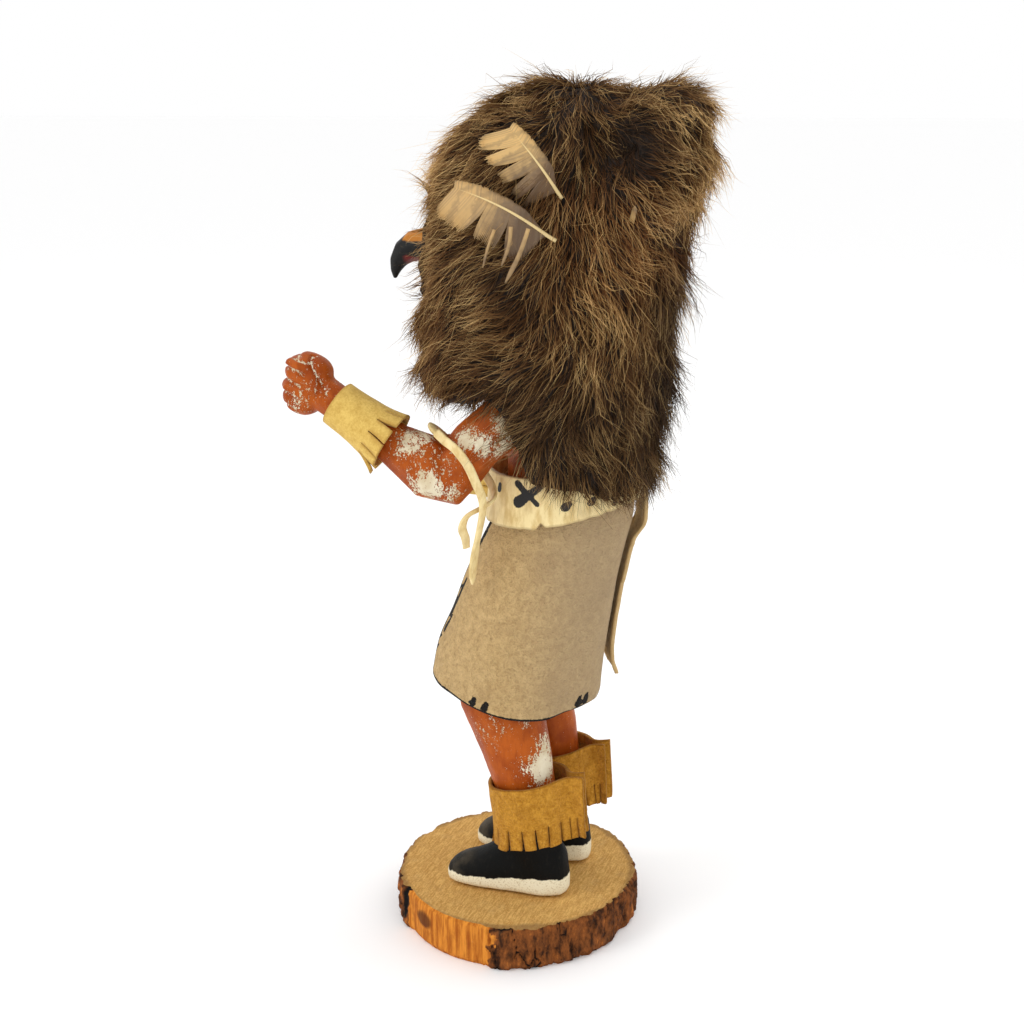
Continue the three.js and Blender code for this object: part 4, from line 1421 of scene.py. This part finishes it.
@dataclass
class Comb:
    """Which way the fur lies, how long and how pale it is, over the hood and the cape.

    Places are millimetres to the left, to the back and above the slice.
    """

    face: float = 229.0

    def lie(self, x: float, y: float, z: float) -> Vector:
        """The way that the hair lies, before the surface bends it.

        Args:
            x: millimetres to the figure's left.
            y: millimetres to the back.
            z: millimetres above the slice.

        Returns:
            A direction.
        """
        side = math.copysign(min(1.0, abs(x) / 12.0), x)
        high = ease(205, 232, z)
        wander = 6.0 * math.sin(z / 8.0 + abs(x) / 6.0)
        front = 1.0 - ease(6, 40, y + wander)
        back = ease(36, 52, y)
        forward = Vector((0.1 * side, -0.82, -0.5))
        forward = forward.lerp(Vector((0.1 * side, -0.75, -0.72)), ease(-12, -26, y))
        falling = Vector((0.05 * side, 0.12, -1.0))
        middle = falling.lerp(Vector((0.1 * side, 0.62, -0.7)), high)
        rear = falling.lerp(Vector((0.1 * side, 0.84, -0.5)), high)
        way = forward * front + (middle * (1.0 - back) + rear * back) * (1.0 - front)
        roll = Vector((0.55 * side, -0.85, 0.05))
        roll = roll.lerp(Vector((0.45 * side, 0.8, -0.25)), ease(-8, 42, y + wander))
        way = way.lerp(roll, ease(256, 272, z) * (1.0 - ease(36, 44, y)))
        outward, up = lerp(-0.2, 0.75, ease(38, 52, y)), lerp(0.6, -0.5, ease(42, 58, y))
        rim = Vector((0.3 * side, outward, up))
        way = way.lerp(rim, ease(258, 270, z) * ease(34, 42, y))
        chin = 0.75 * ease(2, -14, y) * ease(212, 192, z)
        way = way.lerp(Vector((0.1 * side, -0.3, -1.0)), chin)
        low = 1.0 - ease(164, 186, z)
        way = way.lerp(Vector((0.15 * side, 0.016 * (y - 14.0), -1.0)), low * 0.85)
        off = Vector((x, 0.0, z - self.face))
        ruff = off.normalized() + Vector((0, -0.7, 0)) if off.length > 1 else Vector((0, 0, 1))
        return way.lerp(ruff, ease(-14, -27, y) * (1.0 - ease(26, 40, off.length)))

    def length(self, x: float, y: float, z: float) -> float:
        """The hair's length, as a share of the longest."""
        long = lerp(0.75, 1.0, ease(150, 172, z))
        long *= lerp(1.0, 0.4, ease(176, 158, z) * ease(34, 16, y))
        long *= lerp(1.0, 0.8, ease(44, 54, y) * ease(228, 244, z))
        long *= lerp(1.0, 0.82, ease(262, 272, z))
        near_face = math.hypot(x, z - self.face)
        return long * lerp(1.0, lerp(0.42, 0.72, ease(14, 26, near_face)), ease(-6, -20, y))

    def pale(self, y: float, z: float) -> float:
        """How pale the tips are, from 0 to 1: paler higher up, at the front of the crown, on top of the back
        lobe and down the streak, less pale low down, with painted shade behind and under the back lobe and in
        the hollows.
        """
        light = lerp(0.38, 0.5, ease(205, 250, z))
        light += 0.38 * ease(16, -6, y) * ease(230, 250, z)
        light += 0.55 * ease(50, 60, y) * ease(232, 246, z)
        light += STREAK.at(y, z)
        light -= 0.28 * ease(206, 184, z)
        # Painted shade: less pale behind and under the back lobe and in the hollows.
        light -= 0.4 * ease(42, 54, y) * ease(232, 218, z)
        light -= 0.6 * self.hollow(y, z)
        return min(1.0, max(0.0, light))

    def dark(self, y: float, z: float) -> float:
        """Painted shade on the hair all along, from 0 to 1: behind and under the back lobe, in the shadow
        patch and in the hollows.
        """
        # Painted shade behind and under the back lobe.
        behind = 0.9 * ease(42, 54, y) * ease(232, 216, z)
        return min(1.0, behind + SHADOW.at(y, z) + self.hollow(y, z))

    @staticmethod
    def rust(y: float, z: float) -> float:
        """How red the hair is, from 0 to 1."""
        warm = 0.25 + WARM.at(y, z) + 0.3 * ease(0, -20, y)
        return warm * ease(160, 200, z)

    @staticmethod
    def hollow(y: float, z: float) -> float:
        """1 in the hollows between the crown and the lobe behind it, and by the feathers, where the hide sits
        deeper and the hair gets painted shade.
        """
        return min(1.0, sum(hollow.at(y, z) for hollow in HOLLOWS))


class Strands:
    """The Geometry Nodes tree that grows hair from a combed patch of hide."""

    INPUTS = {
        "Density": ("NodeSocketFloat", 1.0e6),
        "Length": ("NodeSocketFloat", 0.0155),
        "Thickness": ("NodeSocketFloat", 0.00017),
        "Lift": ("NodeSocketFloat", 0.5),
        "Drop": ("NodeSocketFloat", 0.3),
        "Clump": ("NodeSocketFloat", 0.6),
        "Clump Size": ("NodeSocketFloat", 0.0042),
        "Wave": ("NodeSocketFloat", 0.4),
        "Curl": ("NodeSocketFloat", 0.62),
        "Frizz": ("NodeSocketFloat", 0.24),
        "Seed": ("NodeSocketInt", 1),
        "Hair": ("NodeSocketMaterial", None),
    }

    def __init__(self) -> None:
        """Builds the tree."""
        tree = bpy.data.node_groups.new("hair_strands", "GeometryNodeTree")
        tree.interface.new_socket("Hide", in_out="INPUT", socket_type="NodeSocketGeometry")
        self.keys: dict[str, str] = {}
        for name, (kind, value) in self.INPUTS.items():
            socket = tree.interface.new_socket(name, in_out="INPUT", socket_type=kind)
            if value is not None:
                socket.default_value = value
            self.keys[name] = socket.identifier
        tree.interface.new_socket("Hair", in_out="OUTPUT", socket_type="NodeSocketGeometry")
        self.tree = tree
        self.g = Graph(tree)
        self.given = self.g.node("NodeGroupInput")
        self.grow()

    def named(self, name: str, kind: str = "FLOAT") -> Field:
        """A value that the points or strands carry."""
        made = self.g.node("GeometryNodeInputNamedAttribute", {"data_type": kind}, {"Name": name})
        return self.g.out(made, "Attribute")

    def stored(self, shape: Field, name: str, value: Field, kind: str = "FLOAT") -> Field:
        """The shape with one more value on its points."""
        settings = {"data_type": kind, "domain": "POINT"}
        inputs = {"Geometry": shape, "Name": name, "Value": value}
        return self.g.out(self.g.node("GeometryNodeStoreNamedAttribute", settings, inputs), "Geometry")

    def chance(self, low: float, high: float, seed: int) -> Field:
        """A random number for each point."""
        inputs = {2: low, 3: high, "Seed": seed}
        return self.g.out(self.g.node("FunctionNodeRandomValue", {"data_type": "FLOAT"}, inputs), 1)

    def cell(self, root: Field, size: Field | float) -> tuple[Field, Field]:
        """The middle of the lock that a root belongs to, and a colour at random for it."""
        inputs = {"Vector": root, "Scale": size, "Randomness": 1.0}
        made = self.g.node("ShaderNodeTexVoronoi", {"feature": "F1"}, inputs)
        return self.g.out(made, "Position"), self.g.out(made, "Color")

    def grow(self) -> None:
        """Points on the hide, a cone for each, bent and drawn into locks."""
        g = self.g
        given = {name: g.out(self.given, name) for name in self.INPUTS}
        spread = g.node("GeometryNodeDistributePointsOnFaces", {}, {
            "Mesh": g.out(self.given, "Hide"),
            "Density": given["Density"] * self.named("thick"),
            "Seed": given["Seed"],
        })
        points = g.out(spread, "Points")
        points = self.stored(points, "root", g.out(g.node("GeometryNodeInputPosition")), "FLOAT_VECTOR")
        points = self.stored(points, "up", g.out(spread, "Normal"), "FLOAT_VECTOR")
        points = self.stored(points, "stray", self.chance(0.0, 1.0, 5))
        reach = self.chance(0.6, 1.15, 3) * (1.0 + self.named("stray") ** 7.0 * 0.55)
        points = self.stored(points, "long", given["Length"] * self.named("long_share") * reach)
        cone = g.node("GeometryNodeMeshCone", {"fill_type": "NGON"}, {
            "Vertices": 3, "Side Segments": 3, "Fill Segments": 1,
            "Radius Top": 0.0, "Radius Bottom": 1.0, "Depth": 1.0,
        })
        height = g.node("ShaderNodeSeparateXYZ", {}, {0: g.out(g.node("GeometryNodeInputPosition"))})
        strand = self.stored(g.out(cone, "Mesh"), "along", g.out(height, 2))
        up = self.named("up", "FLOAT_VECTOR")
        raised = g.turned("SCALE", up, given["Lift"] * self.chance(0.5, 1.3, 7))
        way = g.turned("ADD", self.named("flow", "FLOAT_VECTOR"), raised)
        facing = g.node("FunctionNodeAlignRotationToVector", {"axis": "Z"}, {"Vector": way})
        girth = given["Thickness"] * self.chance(0.7, 1.25, 9)
        size = g.node("ShaderNodeCombineXYZ", {}, {0: girth, 1: girth, 2: self.named("long")})
        planted = g.node("GeometryNodeInstanceOnPoints", {}, {
            "Points": points, "Instance": strand, "Rotation": g.out(facing), "Scale": g.out(size),
        })
        real = g.out(g.node("GeometryNodeRealizeInstances", {}, {"Geometry": g.out(planted)}))
        bent, tone = self.bend(real, given)
        toned = self.stored(bent, "tone", tone)
        ended = g.node("GeometryNodeSetMaterial", {}, {"Geometry": toned, "Material": given["Hair"]})
        g.node("NodeGroupOutput", {}, {0: g.out(ended)})

    def bend(self, strands: Field, given: dict[str, Field]) -> tuple[Field, Field]:
        """Bends the strands and draws them into locks.

        Args:
            strands: the straight strands.
            given: the tree's inputs.

        Returns:
            The bent strands, and their tone.
        """
        g = self.g
        along, long = self.named("along"), self.named("long")
        root, up = self.named("root", "FLOAT_VECTOR"), self.named("up", "FLOAT_VECTOR")
        stray = self.named("stray")
        late = along * along
        fall = g.turned("SCALE", up, late * long * given["Drop"] * -1.0)
        broad = g.node("ShaderNodeTexNoise", {}, {"Vector": root, "Scale": 1.0 / (17 * MM), "Detail": 1.0})
        swirl = g.turned("SUBTRACT", g.out(broad, "Color"), (0.5, 0.5, 0.5))
        wave = g.turned("SCALE", swirl, along ** 1.5 * long * given["Wave"] * 2.0)
        step = g.node("ShaderNodeCombineXYZ", {}, {0: along * 1.7, 1: stray * 0.5, 2: along * 0.9})
        place = g.turned("ADD", g.turned("SCALE", root, 1.0 / (3.2 * MM)), g.out(step))
        bends = g.node("ShaderNodeTexNoise", {}, {"Vector": place, "Scale": 1.0, "Detail": 1.0})
        turns = g.turned("SUBTRACT", g.out(bends, "Color"), (0.5, 0.5, 0.5))
        curl = g.turned("SCALE", turns, along * long * given["Curl"] * 2.0)
        tight = g.node("ShaderNodeTexNoise", {}, {"Vector": root, "Scale": 1.0 / (0.7 * MM), "Detail": 0.0})
        twist = g.turned("SUBTRACT", g.out(tight, "Color"), (0.5, 0.5, 0.5))
        frizz = g.turned("SCALE", twist, late * long * given["Frizz"] * (1.0 + stray * 2.0))
        lock, tint = self.cell(root, 1.0 / given["Clump Size"])
        drawn = along ** 1.2 * given["Clump"] * (1.05 - stray ** 3.0)
        pull = g.turned("SCALE", g.turned("SUBTRACT", lock, root), drawn)
        mass, _ = self.cell(root, 0.4 / given["Clump Size"])
        gather = g.turned("SCALE", g.turned("SUBTRACT", mass, root), late * given["Clump"] * 0.3)
        offset = fall
        for part in (wave, curl, frizz, pull, gather):
            offset = g.turned("ADD", offset, part)
        moved = g.node("GeometryNodeSetPosition", {}, {"Geometry": strands, "Offset": offset})
        shade = g.node("ShaderNodeSeparateXYZ", {}, {0: tint})
        return g.out(moved), g.out(shade, 0) * 0.55 + stray * 0.45

    def planted(self, name: str, patch: bpy.types.Mesh, **sizes: float) -> bpy.types.Object:
        """Grows one patch of hair.

        Args:
            name: the piece's name.
            patch: the combed patch of hide.
            sizes: the tree's inputs, with underscores for spaces.

        Returns:
            The hair as a plain mesh object.
        """
        holder = placed(name + "_patch", patch, None)
        made = holder.modifiers.new("hair", "NODES")
        made.node_group = self.tree
        made[self.keys["Hair"]] = HAIR.material()
        for key, value in sizes.items():
            made[self.keys[key.replace("_", " ")]] = value
        mesh = baked(holder)
        for spare in ("root", "up", "long", "stray", "flow", "long_share", "thick"):
            found = mesh.attributes.get(spare)
            if found is not None:
                mesh.attributes.remove(found)
        return placed(name, mesh, HAIR)


@dataclass
class FurPiece:
    """One named stretch of hair and the part of the hide that it grows from."""

    name: str
    seed: int
    holds: Callable[[float, float, float], bool]


@dataclass
class FurDress:
    """The hood and the cape: one dark hide set in from the fur's outline, and the hair on it."""

    voxel: float = 2.2
    rounds: int = 5
    inset: float = 5.5
    feel: float = 24.0
    shoulder_lift: float = 4.5
    density: float = 0.89e6
    comb: Comb = field(default_factory=Comb)

    def bodies(self) -> BVHTree:
        """The carved wood inside the fur, for finding the hide's inner side."""
        work = bmesh.new()
        for node in ("figure", "left_arm", "right_arm", "beak"):
            work.from_mesh(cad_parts[node].data)
        tree = BVHTree.FromBMesh(work)
        work.free()
        return tree

    @staticmethod
    def softened(mesh: bpy.types.Mesh, values: list[float], rounds: int = 4) -> list[float]:
        """The values, evened out with their neighbours'.

        Args:
            mesh: the mesh that they lie on.
            values: one for each vertex.
            rounds: how many times they are evened out.

        Returns:
            The new values.
        """
        for _ in range(rounds):
            sums = list(values)
            counts = [1] * len(values)
            for edge in mesh.edges:
                a, b = edge.vertices
                sums[a] += values[b]
                sums[b] += values[a]
                counts[a] += 1
                counts[b] += 1
            values = [total / count for total, count in zip(sums, counts)]
        return values

    def hide(self) -> tuple[bpy.types.Mesh, list[float]]:
        """The hide, set in from the fur's outline in soft lumps.

        Returns:
            Its mesh, and 1 for each vertex on the outer side or 0 on the inner.
        """
        mesh = cad_copy(["fur_hood", "fur_cape"], self.voxel, self.rounds)
        bodies = self.bodies()
        outer = []
        for vertex in mesh.vertices:
            start = vertex.co + vertex.normal * 0.3 * MM
            blocked = bodies.ray_cast(start, vertex.normal, self.feel * MM)[0] is not None
            outer.append(0.0 if blocked else 1.0)
        outer = self.softened(mesh, outer)
        moved = []
        for vertex, out in zip(mesh.vertices, outer):
            _, y, z = vertex.co / MM
            z -= BASE_TOP
            lumps = 2.2 * wavering(vertex.co, 15.0) + 1.2 * wavering(vertex.co, 7.0)
            depth = self.inset - lumps + 3.0 * self.comb.hollow(y, z)
            depth -= 2.2 * ease(262, 274, z) * ease(28, 36, y)
            depth -= 2.6 * ease(2, -14, y) * ease(214, 194, z)
            rim = ease(152, 166, z) * 0.65 + 0.35
            over_arm = ease(17, 7, y) * ease(-16, -6, y) * ease(198, 178, z)
            lifted = Vector((0, 0, self.shoulder_lift * over_arm))
            moved.extend(vertex.co + (lifted - vertex.normal * depth * rim * out) * MM)
        mesh.vertices.foreach_set("co", moved)
        mesh.shade_smooth()
        mesh.update()
        return mesh, outer

    def patch(self, piece: FurPiece, mesh: bpy.types.Mesh, outer: list[float]) -> bpy.types.Mesh:
        """The combed part of the hide that one stretch of hair grows from.

        Args:
            piece: the stretch of hair.
            mesh: the hide.
            outer: 1 for each vertex on the outer side.

        Returns:
            A mesh that carries the way the hair lies and how it looks.
        """
        kept = []
        for face in mesh.polygons:
            x, y, z = face.center / MM
            if piece.holds(x, y, z - BASE_TOP) and min(outer[i] for i in face.vertices) > 0.5:
                kept.append(face)
        used = sorted({i for face in kept for i in face.vertices})
        renamed = {old: new for new, old in enumerate(used)}
        made = bpy.data.meshes.new(piece.name + "_hide")
        made.from_pydata(
            [tuple(mesh.vertices[i].co) for i in used], [],
            [tuple(renamed[i] for i in face.vertices) for face in kept],
        )
        flow: list[float] = []
        looks: dict[str, list[float]] = {"long_share": [], "pale": [], "rust": [], "dark": [], "thick": []}
        for i in used:
            vertex = mesh.vertices[i]
            x, y, z = vertex.co / MM
            z -= BASE_TOP
            way = self.comb.lie(x, y, z)
            tousled = lerp(0.8, 1.3, ease(250, 268, z))
            turn = tousled * wavering(vertex.co, 15.0) + 0.6 * wavering(vertex.co, 6.0)
            way = way * math.cos(turn) + vertex.normal.cross(way) * math.sin(turn)
            way = way - vertex.normal * way.dot(vertex.normal)
            flow.extend(way.normalized() if way.length > 1e-6 else Vector((0, 0, -1)))
            looks["long_share"].append(self.comb.length(x, y, z))
            looks["pale"].append(self.comb.pale(y, z))
            looks["rust"].append(self.comb.rust(y, z))
            looks["dark"].append(self.comb.dark(y, z))
            beneath = lerp(1.0, 0.8, ease(-0.6, -0.9, vertex.normal.z))
            looks["thick"].append(lerp(0.75, 1.0, ease(-14, 4, x)) * beneath)
        made.attributes.new("flow", "FLOAT_VECTOR", "POINT").data.foreach_set("vector", flow)
        for name, numbers in looks.items():
            made.attributes.new(name, "FLOAT", "POINT").data.foreach_set("value", numbers)
        return made

    def build(self) -> None:
        """Makes the hide and the hair."""
        mesh, outer = self.hide()
        strands = Strands()
        pieces = [
            FurPiece("fur_crown", 11, lambda x, y, z: z > 250 and y <= 36),
            FurPiece("fur_back_lobe", 12, lambda x, y, z: z > 215 and y > 36),
            FurPiece("fur_left_cheek", 13, lambda x, y, z: 198 < z <= 250 and y <= 36 and x >= 0),
            FurPiece("fur_right_cheek", 14, lambda x, y, z: 198 < z <= 250 and y <= 36 and x < 0),
            FurPiece("fur_left_cape", 15, lambda x, y, z: z <= (198 if y <= 36 else 215) and x >= 0),
            FurPiece("fur_right_cape", 16, lambda x, y, z: z <= (198 if y <= 36 else 215) and x < 0),
        ]
        for piece in pieces:
            patch = self.patch(piece, mesh, outer)
            made = strands.planted(piece.name, patch, Density=self.density, Seed=piece.seed)
            finished(made, Slot.FUR)
        finished(placed("fur_hide", mesh, HIDE), Slot.FUR, "fur_hood", "fur_cape")


# Feathers


@dataclass
class Feather:
    """A small body feather: a quill and two vanes of barbs, parted into groups in front."""

    name: str
    node: str
    base: tuple[float, float, float]
    tip: tuple[float, float, float]
    front: float
    rear: float
    finish: Finish
    side: float
    parts: tuple[float, ...]
    loose: tuple = ()
    arch: float = 1.5
    barbs: int = 84
    steps: int = 6

    def build(self) -> None:
        """Makes the quill and the barbs as one piece."""
        base, tip = Vector(self.base), Vector(self.tip)
        axis = (tip - base).normalized()
        length = (tip - base).length
        outward = Vector((0.95, -0.15, 0.28))
        face = (outward - axis * axis.dot(outward)).normalized()
        across = face.cross(axis)
        made = Skin()

        def on_line(u: float) -> Vector:
            arch = math.sin(math.pi * max(0.0, min(1.0, u)))
            return base + axis * (u * length) + face * 3.2 * arch - across * self.arch * arch

        def metres(p: Vector) -> Vector:
            return spot(self.side * p.x, p.y, p.z)

        self.quill(made, on_line, face, across, metres)
        rng = random.Random(len(self.name))
        for sign, wide in ((1.0, self.front), (-1.0, self.rear)):
            for i in range(self.barbs):
                u = 0.06 + 0.9 * i / (self.barbs - 1)
                round_tip = math.sqrt(max(0.04, 1 - ((u - 0.5) / 0.52) ** 4))
                reach = wide * ease(0.0, 0.3, u) * round_tip * rng.uniform(0.93, 1.04)
                pull = 0.0
                if sign > 0:
                    for part in self.parts:
                        pull += 0.05 * math.exp(-((u - part) / 0.05) ** 2) * math.copysign(1.0, u - part)
                lean = lerp(-0.42, 0.34, ease(0.05, 0.85, u)) if sign > 0 else 0.45
                self.barb(made, on_line, axis, face, across * sign, metres, u, reach, pull, lean, rng)
        for points, start, end in self.loose:
            self.strip(made, Rows(*points), start, end)
        finished(made.made(self.name, self.finish), Slot.FEATHER, self.node)

    @staticmethod
    def strip(made: Skin, line: Rows, start: float, end: float) -> None:
        """Adds a loose strip of barbs that curves down from the quill."""
        rows = []
        for k in range(13):
            t = k / 12
            here, ahead = Vector(line.at(t)), Vector(line.at(min(1.0, t + 0.01)))
            if t == 1.0:
                here, ahead = Vector(line.at(0.99)), Vector(line.at(1.0))
            along = (ahead - here).normalized()
            across = along.cross(Vector((1, 0, 0))).normalized()
            half = lerp(start, end, t) * (1.0 - 0.7 * ease(0.75, 1.0, t))
            centre = Vector(line.at(t))
            row = []
            for a, f in ((-1, -0.15), (1, -0.15), (1, 0.15), (-1, 0.15)):
                place = centre + across * a * half + Vector((f, 0, 0))
                row.append(made.point(spot(*place), along=0.62 - 0.2 * t, out=t, barb=0.3, quill=0.0))
            rows.append(row)
        made.tube(rows)

    @staticmethod
    def quill(made: Skin, on_line: Callable, face: Vector, across: Vector, metres: Callable) -> None:
        """Adds the tapering quill."""
        rings = []
        count, sides = 24, 8
        for i in range(count + 1):
            u = -0.06 + 1.02 * i / count
            radius = lerp(0.62, 0.14, i / count)
            ring = []
            for k in range(sides):
                angle = TURN * k / sides
                p = on_line(u) + (across * math.cos(angle) + face * math.sin(angle)) * radius
                ring.append(made.point(metres(p), along=u, out=0.0, barb=0.0, quill=1.0))
            rings.append(ring)
        made.tube(rings)

    def barb(
        self, made: Skin, on_line: Callable, axis: Vector, face: Vector, away: Vector, metres: Callable,
        u: float, reach: float, pull: float, lean: float, rng: random.Random,
    ) -> None:
        """Adds one barb: a thin ribbon that sweeps out and towards the tip."""
        shade = rng.random()
        half, thin = 0.34, 0.1
        length = (Vector(self.tip) - Vector(self.base)).length
        rows = []
        for k in range(self.steps + 1):
            t = k / self.steps
            sweep = lean * reach * t ** 1.15
            droop = -0.16 * reach * t * t
            centre = on_line(u) + away * reach * t + axis * (sweep + pull * length * t * t) + face * droop
            narrow = half * (1.0 - 0.75 * t ** 3)
            along = axis * narrow
            row = []
            for a, f in ((-1, -thin), (1, -thin), (1, thin), (-1, thin)):
                p = centre + along * a + face * (f + 0.05 * a)
                row.append(made.point(metres(p), along=u, out=t, barb=shade, quill=0.0))
            rows.append(row)
        made.tube(rows)


LOOSE_BARBS = (
    (((45.4, 14.4, 237.4), (46.6, 14.2, 232.0), (46.0, 11.6, 225.8)), 0.62, 0.45),
    (((45.6, 20.0, 237.0), (47.0, 17.6, 229.4), (46.4, 13.0, 221.0)), 0.6, 0.72),
    (((45.0, 9.0, 236.4), (45.8, 7.2, 231.0), (45.4, 5.4, 225.0)), 0.5, 0.32),
)
STUB = ((((30.0, 47.0, 238.5), (33.0, 48.4, 241.0), (35.5, 49.6, 243.6)), 0.9, 0.7),)


def feathers() -> list[Feather]:
    """The four feathers."""
    made = []
    for word, side in (("left", 1.0), ("right", -1.0)):
        made.append(Feather(
            f"{word}_upper_plume", f"feather_{word}_upper", (34, 25.5, 246.4), (44, 12.9, 266.2),
            12.6, 3.0, UPPER_VANE, side, (0.3, 0.45, 0.6, 0.76), STUB if side > 0 else (),
        ))
        made.append(Feather(
            f"{word}_lower_plume", f"feather_{word}_lower", (37, 23.9, 233.8), (44.5, -5, 248.6),
            12.0, 3.2, LOWER_VANE, side, (0.4, 0.62), LOOSE_BARBS if side > 0 else (),
        ))
    return made


# The room


@dataclass
class Studio:
    """The floor, the lights and the camera. The camera's focal length is in image pixels."""

    image: float = 1024.0
    sensor: float = 36.0
    focal: float = 1438.0
    reach: float = 0.480
    height: float = 0.2876
    azimuth: float = math.radians(110.0)
    pitch: float = math.radians(15.74)
    yaw: float = math.radians(0.22)

    def build(self) -> None:
        """Makes all three."""
        self.floor()
        self.lights()
        self.camera()

    def floor(self) -> None:
        """A plain pale floor."""
        mesh = bpy.data.meshes.new("floor")
        far = 40.0
        corners = [(-far, -far, 0), (far, -far, 0), (far, far, 0), (-far, far, 0)]
        mesh.from_pydata(corners, [], [(0, 1, 2, 3)])
        paper = Shader("floor_paper")
        paper.wear(Base_Color=(0.99, 0.99, 0.99, 1.0), Roughness=1.0)
        piece = bpy.data.objects.new("floor", mesh)
        mesh.materials.append(paper.material)
        bpy.context.scene.collection.objects.link(piece)

    def lights(self) -> None:
        """Three soft area lights and an even pale sky."""
        world = bpy.data.worlds.new("studio")
        world.use_nodes = True
        sky = world.node_tree.nodes["Background"]
        sky.inputs[0].default_value = (1.0, 1.0, 1.0, 1.0)
        sky.inputs[1].default_value = 1.0
        bpy.context.scene.world = world
        for name, place, size, power in (
            ("key", (0.75, -0.75, 0.95), 0.5, 4.0),
            ("fill", (0.7, 0.85, 0.45), 0.9, 0.2),
            ("top", (-0.35, 0.35, 1.1), 0.6, 1.8),
        ):
            lamp = bpy.data.lights.new(name, "AREA")
            lamp.size = size
            lamp.energy = power
            piece = bpy.data.objects.new(name, lamp)
            bpy.context.scene.collection.objects.link(piece)
            piece.location = place
            aim = Vector((0, 0.01, 0.16)) - Vector(place)
            piece.rotation_euler = aim.to_track_quat("-Z", "Y").to_euler()

    def camera(self) -> None:
        """The camera, a little above and nearly square on to the figure's left side."""
        lens = bpy.data.cameras.new("camera")
        lens.sensor_width = self.sensor
        lens.lens = self.focal / self.image * self.sensor
        lens.clip_start = 0.01
        piece = bpy.data.objects.new("camera", lens)
        bpy.context.scene.collection.objects.link(piece)
        turn = self.azimuth + self.yaw
        level = Vector((-math.sin(turn), math.cos(turn), 0.0))
        x, y = math.sin(self.azimuth) * self.reach, -math.cos(self.azimuth) * self.reach
        piece.location = (x, y, self.height)
        ahead = level * math.cos(self.pitch) + Vector((0, 0, -math.sin(self.pitch)))
        piece.rotation_euler = ahead.to_track_quat("-Z", "Y").to_euler()
        bpy.context.scene.camera = piece
        bpy.context.scene.view_settings.view_transform = "Standard"


def main() -> None:
    """Builds the doll and the studio."""
    logging.basicConfig(level=logging.INFO, format="%(message)s")
    LogSlice().build()
    for carving in carvings():
        carving.build()
    Kilt().build()
    Waistband().build()
    BackSash().build()
    WristCuff("left_suede_cuff", "left_wrist_cuff", LEFT_ARM, 21, peeled=3).build()
    WristCuff("right_suede_cuff", "right_wrist_cuff", RIGHT_ARM, 22).build()
    Legging("left_suede_legging", "left_legging", 1.0, 31).build()
    Legging("right_suede_legging", "right_legging", -1.0, 32).build()
    ElbowLace().build()
    for feather in feathers():
        feather.build()
    FurDress().build()
    Studio().build()


if __name__ == "__main__":
    main()
